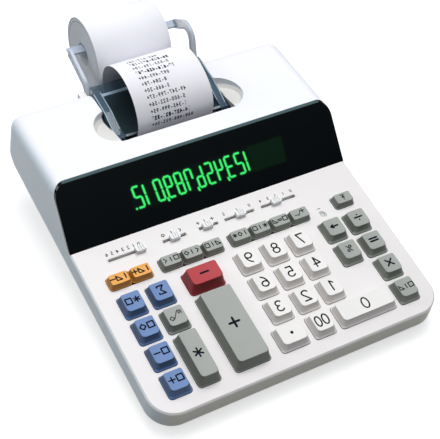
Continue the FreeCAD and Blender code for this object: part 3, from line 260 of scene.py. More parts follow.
def make_case_finish():
    """Light plastic, with painted light on the hump, lighter and cooler, and painted shade on the left side,
    the front wall, the key openings and the bay.

    The two finger scoops beside the bay are round patches of painted shade, a slightly deeper tone, below the
    hump's top.
    """
    f = moulded("case_plastic", screen(236, 237, 240), 0.46, 0.22, 0.000025, 0.012)
    across, along, up = f.deck_axes()
    leftward, frontward = (0.0 - part for part in f.split(f.facing)[:2])
    tone = f.blend(screen(234, 230, 229), screen(239, 236, 235), f.noise(9, 2.0))
    # Painted light: the hump's top is lighter and cooler than the deck.
    tone = f.blend(tone, screen(244, 245, 251), up.step(6.0, 28.0))
    # Painted shade: the left side is darker and bluer.
    tone = f.blend(tone, screen(214, 226, 234), leftward.step(0.35, 0.9))
    # Painted shade on the front wall below the deck.
    front_wall_shade = frontward.step(0.7, 0.95) * up.fall(-1.5, -0.5)
    tone = f.blend(tone, screen(226, 225, 212), front_wall_shade)
    # Painted shade: the walls down into the key openings are dark.
    key_field = across.size().fall(97.5, 98.5) * along.band((-26.0, -25.0), (77.0, 78.0))
    tone = f.blend(tone, screen(70, 74, 76), up.fall(-0.5, -0.1) * key_field)
    aside = (across - BAY_CENTRE).size()
    scoop_side, scoop_row = aside - 38.4, along - 164.4
    reach = (scoop_side * scoop_side + scoop_row * scoop_row) ** 0.5
    level = along * DECK_SIN + up * DECK_COS
    # Painted shade in the two finger scoops.
    scoop = reach.fall(16.4, 16.9) * level.fall(HUMP_TOP - 1.6, HUMP_TOP - 0.2)
    tone = f.blend(tone, screen(222, 221, 217), scoop)
    # Painted shade: the printer bay's inside is dark blue-grey.
    bay = aside.fall(43.5, 44.2) * along.band((150.0, 150.4), (205.0, 206.0)) * up.fall(21.0, 23.5)
    f.paint(tone, screen(44, 54, 62), bay)
    return f


def make_window_finish():
    """Near-black smoked panel: faint green light round the digits, a painted highlight on the cut top edge."""
    f = Finish("smoked_panel", Roughness=0.06, Specular_IOR_Level=0.3, Emission_Strength=1.0)
    x, y, z = f.deck_axes()
    climb = (y - SLOPE_FOOT) * SLOPE_COS + z * SLOPE_SIN
    level = y * DECK_SIN + z * DECK_COS
    # Painted highlight along the panel's cut top edge.
    cut_edge_highlight = level.step(HUMP_TOP - 0.25, HUMP_TOP - 0.1)
    body = f.blend(screen(2, 6, 8), screen(4, 10, 12), f.noise(55, 2.0))
    f.paint(body, screen(70, 92, 94), cut_edge_highlight)
    field = x.band((-56.0, -53.0), (60.0, 62.5)) * climb.band((12.0, 14.0), (30.0, 32.0))
    blank_places = x.step(33.0, 36.0)
    lit = f.blend((0.0, 0.0035, 0.001, 1), (0.0008, 0.009, 0.002, 1), blank_places)
    f.set("Emission Color", f.blend((0, 0, 0, 1), lit, field))
    return f


def make_paper_finish():
    """Uncoated paper: white with a faint violet tint and short fibres in the height."""
    f = Finish("tape_paper", Roughness=0.85)
    fibre = f.noise(1500, 4.0, 0.75, (1.0, 3.0, 1.0))
    f.paint(screen(236, 235, 240), screen(246, 246, 250), f.noise(40, 3.0))
    f.bump(fibre, 0.15, 0.00002)
    return f


def make_roll_finish():
    """The roll: plain paper round it, fine rings of wound layers on its cool grey ends,
    and painted shade along their outer rim.
    """
    f = Finish("wound_paper", Roughness=0.85)
    x, y, z = f.deck_axes()
    y, z = y - ROLL_ROW, z - ROLL_HEIGHT
    radius = (y * y + z * z) ** 0.5
    inward = ROLL_RADIUS - radius
    rings = f.node("TexNoise", {"W": radius * 3.1, "Scale": 1.0, "Detail": 3.0, "Roughness": 0.7},
                   noise_dimensions="1D")
    rings = Amount(f, rings.outputs["Fac"])
    side = f.blend(screen(216, 221, 230), screen(246, 248, 252), rings.step(0.3, 0.7))
    side = f.blend(side, screen(176, 184, 196), inward.band((2.5, 2.9), (3.0, 3.4)))
    # Painted shade: the ends darken towards their outer rim.
    side = f.blend(side, screen(166, 172, 180), inward.fall(0.6, 0.9))
    f.paint(screen(243, 243, 249), side, inward.step(0.15, 0.35))
    f.bump(rings, 0.25, 0.00005)
    return f


def make_cover_finish():
    """Clear smoked plastic: dark blue-grey, glossy, and thin enough to show what lies under it."""
    f = Finish("smoked_cover", Roughness=0.06)
    x, y, z = f.deck_axes()
    rail = (x - BAY_CENTRE).size().step(36.0, 37.0)
    rear = y.step(186.0, 200.0)
    dark = f.blend(screen(26, 44, 48), screen(40, 58, 62), f.noise(30, 2.0))
    dark = f.blend(dark, screen(64, 82, 98), rear)
    f.paint(dark, screen(78, 100, 118), rail)
    f.set("Alpha", 0.84 - rail * 0.14 - rear * 0.12)
    return f


def make_holder_finish():
    """Pale clear plastic: light and half see-through on its broad sides;
    its edges solid, in blue-grey painted shade.
    """
    f = moulded("holder_plastic", screen(222, 230, 240), 0.25, 0.06)
    broad = f.split(f.facing)[0].size().step(0.55, 0.95)
    # Painted shade: faces turned away from the arms' broad sides are blue-grey.
    f.paint(screen(186, 198, 214), screen(250, 251, 254), broad)
    f.set("Alpha", 0.86 - broad * 0.36)
    return f


def make_light_finish(name, dim, bright):
    """The tube's green light, uneven from place to place."""
    f = Finish(name, Base_Color=(0.0, 0.01, 0.002, 1), Roughness=0.5, Emission_Strength=1.0)
    f.set("Emission Color", f.blend(dim, bright, f.noise(900, 1.0)))
    return f


def make_board_finish():
    """Green lacquered board with copper tracks as a grid of lines broken up by noise."""
    f = Finish("circuit_board", Roughness=0.35)
    tracks = f.node("TexWave", {"Vector": f.coordinates, "Scale": 190.0, "Distortion": 3.0, "Detail": 1.0},
                    bands_direction="DIAGONAL")
    lines = Amount(f, tracks.outputs["Fac"]).step(0.82, 0.88)
    f.paint(screen(30, 84, 48), screen(70, 124, 70), lines)
    f.bump(lines, 0.4, 0.00004)
    return f


# Meshes


def placed(name, data):
    """A new object in the scene."""
    thing = bpy.data.objects.new(name, data)
    bpy.context.scene.collection.objects.link(thing)
    return thing


def add_piece(name, points, faces, finish, body, stands_for=(), slot=None, sharp=35.0):
    """A piece from deck points and faces. It rides on a body and may stand for CAD nodes."""
    mesh = bpy.data.meshes.new(name)
    mesh.from_pydata(standing(points).tolist(), [], [list(map(int, face)) for face in faces])
    mesh.materials.append(finish.material)
    mesh.polygons.foreach_set("use_smooth", [True] * len(mesh.polygons))
    mesh.set_sharp_from_angle(angle=math.radians(sharp))
    thing = placed(name, mesh)
    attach(thing, body)
    if stands_for:
        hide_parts(*stands_for)


def mesh_points(mesh):
    """A mesh's corners as an array."""
    points = np.zeros(len(mesh.vertices) * 3)
    mesh.vertices.foreach_get("co", points)
    return points.reshape(-1, 3)


def ring_quads(rows, columns):
    """Quads between neighbouring rows of a grid whose columns run round and meet."""
    r, c = np.meshgrid(np.arange(rows - 1), np.arange(columns), indexing="ij")
    n = (c + 1) % columns
    quads = [r * columns + c, r * columns + n, (r + 1) * columns + n, (r + 1) * columns + c]
    return np.stack(quads, -1).reshape(-1, 4)


def closed_loft(rings):
    """A closed surface through rings, each end closed by a fan of triangles to the ring's middle."""
    rows, columns, _ = rings.shape
    points = np.concatenate([rings.reshape(-1, 3), rings[0].mean(0)[None], rings[-1].mean(0)[None]])
    first, last = rows * columns, rows * columns + 1
    here = np.arange(columns)
    after = (here + 1) % columns
    start = np.stack([np.full(columns, first), after, here], -1)
    end = np.stack([here + (rows - 1) * columns, after + (rows - 1) * columns, np.full(columns, last)], -1)
    return points, [*ring_quads(rows, columns).tolist(), *start.tolist(), *end.tolist()]


def hoop(rings):
    """A closed hoop through rings, with the last ring joined to the first."""
    rings = np.asarray(rings)
    rows, columns, _ = rings.shape
    return rings.reshape(-1, 3), (ring_quads(rows + 1, columns) % (rows * columns)).tolist()


def joined(shapes):
    """Several (points, faces) shapes as one."""
    points, faces, count = [], [], 0
    for more, its_faces in shapes:
        points.append(np.asarray(more, float))
        faces += [[index + count for index in face] for face in its_faces]
        count += len(more)
    return np.concatenate(points), faces


def mirrored(shape):
    """A shape turned left to right, with its faces turned over so that they still look outwards."""
    points, faces = shape
    return points * [-1, 1, 1], [face[::-1] for face in faces]


def moved(shape, x, y):
    """A shape shifted across and along."""
    points, faces = shape
    return points + [x, y, 0], faces


def rounded_ring(half_wide, half_deep, near, far):
    """A rounded rectangle about the middle, with corner radius near at the front and far at the rear."""
    per_corner, per_side = 7, 5
    corners = [(1, -1, near, -90), (1, 1, far, 0), (-1, 1, far, 90), (-1, -1, near, 180)]
    arcs = []
    for side, end, radius, start in corners:
        turn = np.radians(np.linspace(start, start + 90, per_corner))
        arcs.append(np.stack([side * (half_wide - radius) + radius * np.cos(turn),
                              end * (half_deep - radius) + radius * np.sin(turn)], -1))
    points = []
    for index, arc in enumerate(arcs):
        following = arcs[(index + 1) % 4]
        share = np.linspace(0, 1, per_side + 2)[1:-1, None]
        points += [arc, arc[-1] + (following[0] - arc[-1]) * share]
    return np.concatenate(points)


def raised(outline, height):
    """A flat outline lifted to a height."""
    return np.concatenate([outline, np.full((len(outline), 1), height)], -1)


def level_ring(half, middle, near, far, height):
    """A rounded rectangle of given half sizes about a middle, lying level at a height."""
    return raised(rounded_ring(*half, near, far) + middle, height)


# Lettering and signs

SIGN_THICK = 0.1
FIGURE_STROKE = 1.0
# Signs as runs of points that reach 1 from the middle.
SIGNS = {
    "plus": [[(-1, 0), (1, 0)], [(0, -1), (0, 1)]],
    "minus": [[(-1, 0), (1, 0)]],
    "times": [[(-0.8, -0.8), (0.8, 0.8)], [(-0.8, 0.8), (0.8, -0.8)]],
    "divide": [[(-1, 0), (1, 0)], [(0, 0.75), (0, 0.78)], [(0, -0.75), (0, -0.78)]],
    "equals": [[(-1, 0.36), (1, 0.36)], [(-1, -0.36), (1, -0.36)]],
    "star": [[(math.cos(a), math.sin(a)), (-math.cos(a), -math.sin(a))] for a in np.radians((90, 30, 150))],
    "diamond": [[(1, 0), (0, 1), (-1, 0), (0, -1), (1, 0)]],
    "square": [[(-1, -1), (1, -1), (1, 1), (-1, 1), (-1, -1)]],
    "slash": [[(-0.7, -1), (0.7, 1)]],
    "arrow": [[(1, 0), (-1, 0)], [(-0.3, 0.45), (-1, 0), (-0.3, -0.45)]],
    "feed": [[(0, -1), (0, 0.6)], [(-0.5, 0), (0, 0.6), (0.5, 0)], [(-0.7, 1), (0.7, 1)]],
    "sum": [[(0.7, 0.7), (0.7, 1), (-0.7, 1), (0.1, 0), (-0.7, -1), (0.7, -1), (0.7, -0.7)]],
    "bar": [[(0, -1), (0, 1)]],
    "corner": [[(-1, -1), (1, -1), (-1, 1), (-1, -1)]],
    "chevron": [[(-0.5, 1), (0.5, 0), (-0.5, -1)]],
}


def glyphs(text, size, weight, thick=SIGN_THICK):
    """Text as a closed mesh about its middle, facing up, in millimetres."""
    curve = bpy.data.curves.new("sign", "FONT")
    curve.body = text
    curve.size = size
    curve.align_x = "CENTER"
    curve.align_y = "CENTER"
    curve.extrude = thick / 2
    curve.offset = weight
    curve.resolution_u = 3
    thing = placed("sign", curve)
    bpy.context.view_layer.update()
    mesh = bpy.data.meshes.new_from_object(thing.evaluated_get(bpy.context.evaluated_depsgraph_get()))
    shape = mesh_points(mesh), [list(polygon.vertices) for polygon in mesh.polygons]
    bpy.data.objects.remove(thing)
    bpy.data.curves.remove(curve)
    bpy.data.meshes.remove(mesh)
    return shape


def lettering(text, size, weight):
    """Text turned left to right, as all lettering on the machine is."""
    return mirrored(glyphs(text, size, weight))


def stroke(start, end, width):
    """A straight stroke with half circles for ends, as a flat closed prism."""
    steps = 5
    a, b = np.array(start, float), np.array(end, float)
    lean = math.atan2(*(b - a)[::-1])
    turn = np.radians(np.concatenate([np.linspace(-90, 90, steps), np.linspace(90, 270, steps)])) + lean
    middle = np.concatenate([np.repeat(b[None], steps, 0), np.repeat(a[None], steps, 0)])
    edge = middle + np.stack([np.cos(turn), np.sin(turn)], -1) * width / 2
    return closed_loft(np.stack([raised(edge, -SIGN_THICK / 2), raised(edge, SIGN_THICK / 2)]))


def strokes(paths, width):
    """Several strokes, each path a run of points."""
    return joined([stroke(a, b, width) for path in paths for a, b in zip(path, path[1:])])


def sign(kind, size, width):
    """A sign of a size across, drawn in strokes of a width."""
    return strokes([[(x * size / 2, y * size / 2) for x, y in path] for path in SIGNS[kind]], width)


def sign_row(kinds, size, width, pitch):
    """Signs side by side about the middle."""
    first = -(len(kinds) - 1) / 2 * pitch
    return joined([moved(sign(kind, size, width), first + number * pitch, 0)
                   for number, kind in enumerate(kinds)])


def figure(digit, tall, wide):
    """A plain digit from straight strokes and arcs of ellipses, mirrored, about its middle."""
    h, w = tall / 2, wide / 2
    small, large = h * 0.47, h * 0.53
    upper, lower = h - small, large - h

    def bend(x, y, across, up, start, end, steps=14):
        turn = np.radians(np.linspace(start, end, steps))
        return [(x + across * math.cos(a), y + up * math.sin(a)) for a in turn]

    hook = bend(w * 0.75, lower, w * 1.75, h - lower, 180, 100)
    paths = {
        "0": [bend(0, 0, w, h, 0, 360, 28)],
        "1": [[(-w * 0.75, h * 0.52), (w * 0.15, h), (w * 0.15, -h)]],
        "2": [bend(0, upper, w * 0.95, small, 160, -28) + [(-w, -h), (w, -h)]],
        "3": [bend(0, upper, w * 0.88, small, 150, -90), bend(0, lower, w, large, 90, -150)],
        "4": [[(w * 0.4, -h), (w * 0.4, h), (-w, -h * 0.36), (w, -h * 0.36)]],
        "5": [[(w * 0.85, h), (-w * 0.65, h), (-w * 0.8, h * 0.02)]
              + bend(0, lower, w, large * 1.06, 132, -150)],
        "6": [hook, bend(0, lower, w, large, 0, 360, 22)],
        "7": [[(-w, h), (w, h), (-w * 0.25, -h)]],
        "8": [bend(0, upper, w * 0.86, small, 0, 360, 20), bend(0, lower, w, large, 0, 360, 22)],
        "9": [[(-x, -y) for x, y in hook], bend(0, -lower, w, large, 0, 360, 22)],
    }
    return mirrored(strokes(paths[digit], FIGURE_STROKE))


# Keys

# The height and width of the step round a cap's foot, the dish's depth, the level that parts a cap's own
# points from its skirt's and plunger's, the skirt's foot, the height over which a cap counts as a large one,
# and the lip's corner radii at the front and rear.
KEY_LIP = 0.55
KEY_STEP = 0.22
DISH = 0.34
CAP_FLOOR = -0.8
SKIRT_FOOT = -2.7
LARGE_KEY = 5.5
LIP_CORNERS = (2.1, 1.5)


class Key:
    """A key's outline, read from its CAD node in the deck's frame, and the form of its top."""

    def __init__(self, node):
        self.node = node
        points = on_deck(mesh_points(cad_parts[node].data))
        base = points[points[:, 2] > CAP_FLOOR]
        self.low, self.high = base[:, :2].min(0), base[:, :2].max(0)
        self.tall = base[:, 2].max()
        top = points[points[:, 2] > self.tall - 0.01]
        self.top_low, self.top_high = top[:, :2].min(0), top[:, :2].max(0)
        self.middle = (self.top_low + self.top_high) / 2
        self.half = (self.top_high - self.top_low) / 2

    def top_height(self, x, y):
        """The dished top: lowest in the middle, up to the rim as one minus the square of each share."""
        across = np.clip((x - self.middle[0]) / self.half[0], -1, 1)
        along = np.clip((y - self.middle[1]) / self.half[1], -1, 1)
        return self.tall - DISH * (1 - across ** 2) * (1 - 0.5 * along ** 2)

    def ring(self, share, height, shrink, radii):
        """The outline at a share of the way from base to top, shrunk all round, at a height."""
        low = self.low + (self.top_low - self.low) * share + shrink
        high = self.high + (self.top_high - self.high) * share - shrink
        half = (high - low) / 2
        near, far = (min(radius, half.min() - 0.01) for radius in radii)
        return level_ring(half, (low + high) / 2, near, far, height)

    def cap(self):
        """Rings from the middle of the underside, round the lip, up the sloped sides and over the top.

        The corner radii go evenly from the lip's to the top's. The rim turns in a quarter circle, and the
        last rings shrink towards the middle and follow the dish.
        """
        large = self.tall > LARGE_KEY
        soft = 0.6 if large else 0.45
        corners = (2.6, 1.3) if large else (1.3, 0.9)
        floor = self.ring(0, SKIRT_FOOT, 0.0, LIP_CORNERS)
        centre = floor.mean(0)
        rings = [centre + (floor - centre) * 0.4, floor]
        for height, shrink in ((-0.2, 0.0), (KEY_LIP - 0.15, 0.0), (KEY_LIP, 0.08)):
            rings.append(self.ring(0, height, shrink, LIP_CORNERS))
        first = 0.06
        for share in (first, 0.3, 0.6, 0.82):
            height = KEY_LIP + (self.tall - soft - KEY_LIP) * (share - first) / 0.85
            mixed = tuple(b + (t - b) * share for b, t in zip(LIP_CORNERS, corners))
            rings.append(self.ring(share, height + 0.05, KEY_STEP * (1 - share), mixed))
        for turn in np.radians(np.linspace(0, 90, 6)):
            height = self.tall - soft + soft * math.sin(turn)
            rings.append(self.ring(0.88, height, soft * (1 - math.cos(turn)) * 0.8 - 0.02, corners))
        centre = np.array([*self.middle, 0])
        rings += [centre + (rings[-1] - centre) * [scale, scale, 1] for scale in (0.93, 0.8, 0.6, 0.4, 0.2)]
        rings = np.stack(rings)
        rings[..., 2] = np.minimum(rings[..., 2], self.top_height(rings[..., 0], rings[..., 1]))
        return closed_loft(rings)

    def print_sign(self, shape, finish, lift):
        """A printed sign on the dished top: its upper side just proud of it, its lower side sunk in."""
        points, faces = moved(shape, *(self.middle + [0.0, lift]))
        proud = np.where(points[:, 2] > 0, 0.035, -0.08)
        points[:, 2] = self.top_height(points[:, 0], points[:, 1]) + proud
        add_piece("legend_" + self.node[4:], points, faces, finish, self.node)


def make_rims(keys, finish):
    """Rounded rims that line the key openings: a flat top round each opening and a wall down into it.

    The inner edge follows the keys' outline at an even gap. The outer edge lies under the deck's surface.
    """
    blocks = {}
    for name, key in keys.items():
        group = name[:-2] if name[:-2] in ("tax", "margin", "memory_bank") else name
        blocks.setdefault(group, []).append(key)
    profile = ((0.9, -0.3, 1.2, 0.8), (0.85, 0.02, 1.2, 0.8), (0.42, 0.045, 2.1, 1.5),
               (0.3, -0.05, 2.1, 1.5), (0.3, -1.2, 2.1, 1.5), (0.6, -1.2, 1.6, 1.2))
    shapes = []
    for block in blocks.values():
        low, high = np.min([key.low for key in block], 0), np.max([key.high for key in block], 0)
        middle, half = (low + high) / 2, (high - low) / 2
        shapes.append(hoop([level_ring(half + gap, middle, near + gap, far + gap, height)
                            for gap, height, near, far in profile]))
    add_piece("opening_rims", *joined(shapes), finish, CASE, slot="upper_plastic", sharp=50.0)


def make_keys(finishes, black, navy, case):
    """All caps and their signs. A plan gives a key's colour, its sign and how far back the sign sits."""
    digits = {str(n): figure(str(n), 7.4, 4.6) for n in range(1, 10)}
    digits["zero"] = figure("0", 7.6, 4.7)
    digits["double_zero"] = joined([moved(figure("0", 7.2, 3.8), x, 0) for x in (-2.6, 2.6)])
    digits["point"] = strokes([[(0, -0.1), (0, 0.1)]], 2.1)
    plans = {name: ("white", shape, 0.2) for name, shape in digits.items()}
    pairs = {"memory_plus": ("plus", "square"), "memory_minus": ("minus", "square"),
             "memory_recall": ("diamond", "square"), "memory_total": ("square", "star")}
    plans.update({name: ("blue", sign_row(kinds, 4.0, 0.95, 5.4), 0.5) for name, kinds in pairs.items()})
    threes = {"margin_1": ("chevron", "bar", "square"), "margin_2": ("diamond", "bar", "chevron"),
              "margin_3": ("square", "bar", "corner"), "memory_bank_1": ("star", "diamond", "bar"),
              "memory_bank_2": ("square", "bar", "star"), "memory_bank_3": ("corner", "equals", "square")}
    plans.update({name: ("grey", sign_row(kinds, 3.0, 0.68, 3.9), 0.3) for name, kinds in threes.items()})
    singles = {"star": ("star", 6.2, 1.15, 0.0), "add": ("plus", 6.8, 1.6, 0.0),
               "divide": ("divide", 5.6, 1.2, 0.5), "equals": ("equals", 5.8, 1.3, 0.5),
               "multiply": ("times", 5.8, 1.15, 0.5), "back": ("arrow", 5.4, 1.2, 0.3),
               "feed": ("feed", 3.9, 0.66, 0.2)}
    plans.update({name: ("grey", sign(*drawn), lift) for name, (*drawn, lift) in singles.items()})
    plans.update({
        "grand_total": ("blue", mirrored(sign("sum", 6.0, 1.0)), 0.5),
        "subtract": ("red", sign("minus", 5.6, 1.4), 0.3),
        "number_sign": ("grey", joined([moved(sign("diamond", 3.0, 0.6), -3.1, -1.6), sign("slash", 5.2, 0.5),
                                        moved(lettering("#", 4.8, 0.05), 3.2, 1.8)]), 0.2),
        "percent": ("grey", lettering("%", 7.2, 0.1), 0.3),
        "clear": ("grey", sign_row(("corner", "bar", "square"), 3.2, 0.72, 3.8), 0.3),
        "tax_1": ("orange", sign_row(("minus", "corner", "bar"), 3.5, 0.85, 4.3), 0.3),
        "tax_2": ("orange", sign_row(("plus", "corner", "bar"), 3.5, 0.85, 4.3), 0.3),
        "memory_bank_4": ("grey", joined([moved(sign("minus", 3.0, 0.6), -2.6, -1.1), sign("slash", 4.2, 0.5),
                                          moved(sign("plus", 3.0, 0.6), 2.6, 1.1)]), 0.2),
    })
    keys = {name: Key("key_" + name) for name in plans}
    make_rims(keys, case)
    for name, (colour, shape, lift) in plans.items():
        key = keys[name]
        add_piece("cap_" + name, *key.cap(), finishes[colour], key.node, [key.node], "key_" + colour, 60.0)
        key.print_sign(shape, black if colour == "white" else navy, lift)


# Display

SEGMENTS = {"0": "abcdef", "1": "bc", "2": "abged", "3": "abgcd", "4": "fgbc", "5": "afgcd", "6": "fgecd",
            "7": "fabc", "8": "abcdefg", "9": "abcfgd"}
# A figure's width and height and the gap at a segment's ends, then how far up the slope and to the right the
# row of figures starts, their pitch and their lean to the side.
DIGIT_WIDE, DIGIT_TALL, SEGMENT_GAP = 4.5, 14.2, 0.8
DIGITS_CLIMB = 14.7
DIGITS_RIGHT = 36.8
DIGIT_PITCH = 7.6
DIGIT_LEAN = 0.10


def on_panel(points, proud):
    """Sign points on the display slope: x across, y up the slope, z out of it."""
    x, t, d = points[:, 0], points[:, 1], points[:, 2] + proud
    return np.stack([x, SLOPE_FOOT + t * SLOPE_COS - d * SLOPE_SIN, t * SLOPE_SIN + d * SLOPE_COS], -1)


def make_digits(name, light, width, proud):
    """Twelve seven-segment figures with group marks, slanted and mirrored, just proud of the panel."""
    w, h = DIGIT_WIDE, DIGIT_TALL
    ends = {"a": ((0, h), (w, h)), "b": ((w, h), (w, h / 2)), "c": ((w, h / 2), (w, 0)), "d": ((w, 0), (0, 0)),
            "e": ((0, 0), (0, h / 2)), "f": ((0, h / 2), (0, h)), "g": ((0, h / 2), (w, h / 2))}
    group_marks = {".": [[(w + 1.45, -0.1), (w + 1.45, 0.0)]], ",": [[(w + 1.5, 0.2), (w + 1.2, -1.5)]]}
    shapes, place = [], 0
    for mark in "123,456,789,012.":
        if mark in group_marks:
            shapes.append(moved(strokes(group_marks[mark], width), (place - 1) * DIGIT_PITCH, 0))
            continue
        runs = []
        for segment in SEGMENTS[mark]:
            a, b = (np.array(end, float) for end in ends[segment])
            short = (b - a) / np.linalg.norm(b - a) * SEGMENT_GAP
            runs.append([a + short, b - short])
        shapes.append(moved(strokes(runs, width), place * DIGIT_PITCH, 0))
        place += 1
    points, faces = joined(shapes)
    points[:, 0] += points[:, 1] * DIGIT_LEAN
    points, faces = moved(mirrored((points, faces)), DIGITS_RIGHT, DIGITS_CLIMB)
    add_piece(name, on_panel(points, proud), faces, light, CASE, slot="tube_glass")


# Paper

# The height at which the tape leaves the feed roller's straight run and starts its arch.
TAPE_SPRING = 24.0
# The printed figures' size, squeeze and pitch, the place of a row's first one, and the rows' start and step.
PRINT_SIZE = 3.8
PRINT_SQUEEZE = 0.8
PRINT_PITCH = 2.1
PRINT_LEFT = PAPER_CENTRE - 17.4
ROW_START, ROW_STEP = 3.6, 4.85


def arc(centre, radius, start, end, steps):
    """Points on a circle from one angle to another."""
    turn = np.radians(np.linspace(start, end, steps))
    return np.array(centre) + np.stack([np.cos(turn), np.sin(turn)], -1) * radius


def tape_run(rise, push):
    """The tape's line in the side plane: down from the roll, round the feed roller, up and over.

    The arch is three arcs that meet smoothly: two shoulders and a crown. rise is its height above where it
    starts, and push moves its far side back.
    """
    # The row where the tape falls, the level of its run below the roller and the bend between them, then the
    # roller's row and the radius round it, then half the arch's width and a shoulder's radius.
    web, low, bend = 216.55, -3.45, 10.0
    row, turn = 163.9, 7.45
    span, small = 28.2 + push / 2, 20.0
    front = row - turn
    crown = (span ** 2 + rise ** 2 - 2 * span * small) / (2 * (rise - small))
    lean = math.degrees(math.atan2(crown - rise, span - small))
    middle = front + span
    parts = [
        np.linspace((web, ROLL_HEIGHT - 2.8), (web, low + bend), 4),
        arc((web - bend, low + bend), bend, 0, -90, 10)[1:],
        np.linspace((web - bend, low), (row, low), 6)[1:],
        arc((row, low + turn), turn, -90, -180, 10)[1:],
        np.linspace((front, low + turn), (front, TAPE_SPRING), 6)[1:],
        arc((middle - span + small, TAPE_SPRING), small, 180, 180 - lean, 26)[1:],
        arc((middle, TAPE_SPRING + rise - crown), crown, 180 - lean, lean, 40)[1:],
        arc((middle + span - small, TAPE_SPRING), small, lean, 0, 26)[1:],
        np.linspace((middle + span, TAPE_SPRING), (middle + span - 0.6, TAPE_SPRING - 11.5), 8)[1:],
    ]
    return np.concatenate(parts)


class Tape:
    """The tape's surface between its left and right edge lines, which are mixed by the share across."""

    def __init__(self):
        self.lines = []
        for line in (tape_run(24.4, 0.0), tape_run(22.0, 0.8)):
            steps = np.linalg.norm(np.diff(line, axis=0), axis=1)
            lengths = np.concatenate([[0], np.cumsum(steps)])
            slope = np.gradient(line, lengths, axis=0)
            slope /= np.linalg.norm(slope, axis=1)[:, None]
            self.lines.append((lengths, (*line.T, -slope[:, 1], slope[:, 0])))
        self.along, columns = self.lines[0]
        self.cut = self.along[np.argmax(columns[1] >= TAPE_SPRING - 1e-6)]

    def at(self, x, along, off):
        """The point at a width across and a length along, off the surface towards the printed side."""
        share = (x - PAPER_CENTRE) / PAPER_WIDE + 0.5
        ends = []
        for lengths, columns in self.lines:
            place = along * lengths[-1] / self.along[-1]
            ends.append(np.stack([np.interp(place, lengths, column) for column in columns], -1))
        mixed = ends[0] * (1 - share)[:, None] + ends[1] * share[:, None]
        return np.stack([x, mixed[:, 0] + mixed[:, 2] * off, mixed[:, 1] + mixed[:, 3] * off], -1)


def make_tape(paper, ink):
    """The tape as a thin closed band, and rows of printed figures laid onto it."""
    tape = Tape()
    columns = np.linspace(-0.5, 0.5, 13) * PAPER_WIDE + PAPER_CENTRE
    x, along = np.meshgrid(columns, tape.along, indexing="ij")
    upper, lower = (tape.at(x.ravel(), along.ravel(), off).reshape(*x.shape, 3) for off in (0.1, -0.1))
    rings = np.concatenate([upper, lower[:, ::-1]], axis=1)
    count = rings.shape[1]
    faces = ring_quads(len(columns), count)[:, ::-1].tolist()
    here = np.arange(count // 2 - 1)
    side = np.stack([here, here + 1, count - 2 - here, count - 1 - here], -1)
    faces += side.tolist() + (side + (len(columns) - 1) * count)[:, ::-1].tolist()
    add_piece("paper_tape_curl", rings.reshape(-1, 3), faces, paper, CASE, ["paper_tape"], "paper", 50.0)

    plain, bold = ({mark: mirrored(glyphs(mark, PRINT_SIZE, weight, 0.05)) for mark in "0123456789+-*"}
                   for weight in (0.13, 0.27))
    shapes = []
    for line, count in enumerate((11, 10, 9, 9, 10, 6, 6, 8, 10, 9, 10, 8)):
        heavy = line in (1, 8, 10)
        whole = "".join(str(d) for d in rng.integers(0, 10, count))
        head = [whole[max(0, end - 3):end] for end in range(count - 2, 0, -3)][::-1]
        text = "-".join([*head, whole[-2:]]) + ("*" if heavy else "+")
        for number, mark in enumerate(reversed(text)):
            points, its_faces = (bold if heavy else plain)[mark]
            across = points[:, 0] * PRINT_SQUEEZE + PRINT_LEFT + number * PRINT_PITCH
            length = points[:, 1] + tape.cut + ROW_START + line * ROW_STEP
            shapes.append((tape.at(across, length, np.where(points[:, 2] > 0, 0.13, 0.06)), its_faces))
    add_piece("tape_print", *joined(shapes), ink, CASE, slot="paper")


def make_roll(finish):
    """The wound roll: a profile of layers, each end stepped by a few hundredths, carried round the axis."""
    layers = np.linspace(ROLL_HOLE, ROLL_RADIUS - 0.15, 30)
    half, corner = PAPER_WIDE / 2, 0.2
    ends = [half + rng.uniform(-0.12, 0.04, len(layers)) for _ in range(2)]
    right = np.stack([PAPER_CENTRE + ends[0], layers], -1)
    left = np.stack([PAPER_CENTRE - ends[1], layers], -1)[::-1]
    outer = [(PAPER_CENTRE + half - corner, ROLL_RADIUS), (PAPER_CENTRE - half + corner, ROLL_RADIUS)]
    across, radius = np.concatenate([right, outer, left]).T[..., None]
    turn = np.linspace(0, 2 * math.pi, 120, endpoint=False)
    wander = 0.05 * np.sin(turn * 2 + 1.0)
    radius = radius + wander * (radius > ROLL_RADIUS - 0.2)
    row, height = ROLL_ROW + radius * np.cos(turn), ROLL_HEIGHT + radius * np.sin(turn)
    points, faces = hoop(np.stack([across + 0 * turn, row, height], -1))
    faces = [face[::-1] for face in faces]
    add_piece("wound_roll", points, faces, finish, "paper_roll", ["paper_roll"], "paper", 40.0)


# Cover and holder


def swept(path, section, centre):
    """A section carried along a path in the side plane.

    A section point is (across, out): across is added to the centre's X, out lies square to the path.
    """
    path, section = np.asarray(path, float), np.asarray(section, float)
    slope = np.gradient(path, axis=0)
    slope /= np.linalg.norm(slope, axis=1)[:, None]
    out = np.stack([-slope[:, 1], slope[:, 0]], -1)
    side = path[:, None] + out[:, None] * section[None, :, 1:2]
    across = np.broadcast_to(centre + section[:, 0], side.shape[:2])
    return closed_loft(np.concatenate([across[..., None], side], -1)[::-1])


def round_bar(half_wide, half_high, count=14):
    """An oval section, anticlockwise."""
    turn = np.linspace(0, 2 * math.pi, count, endpoint=False)
    return np.stack([half_wide * np.cos(turn), half_high * np.sin(turn)], -1)


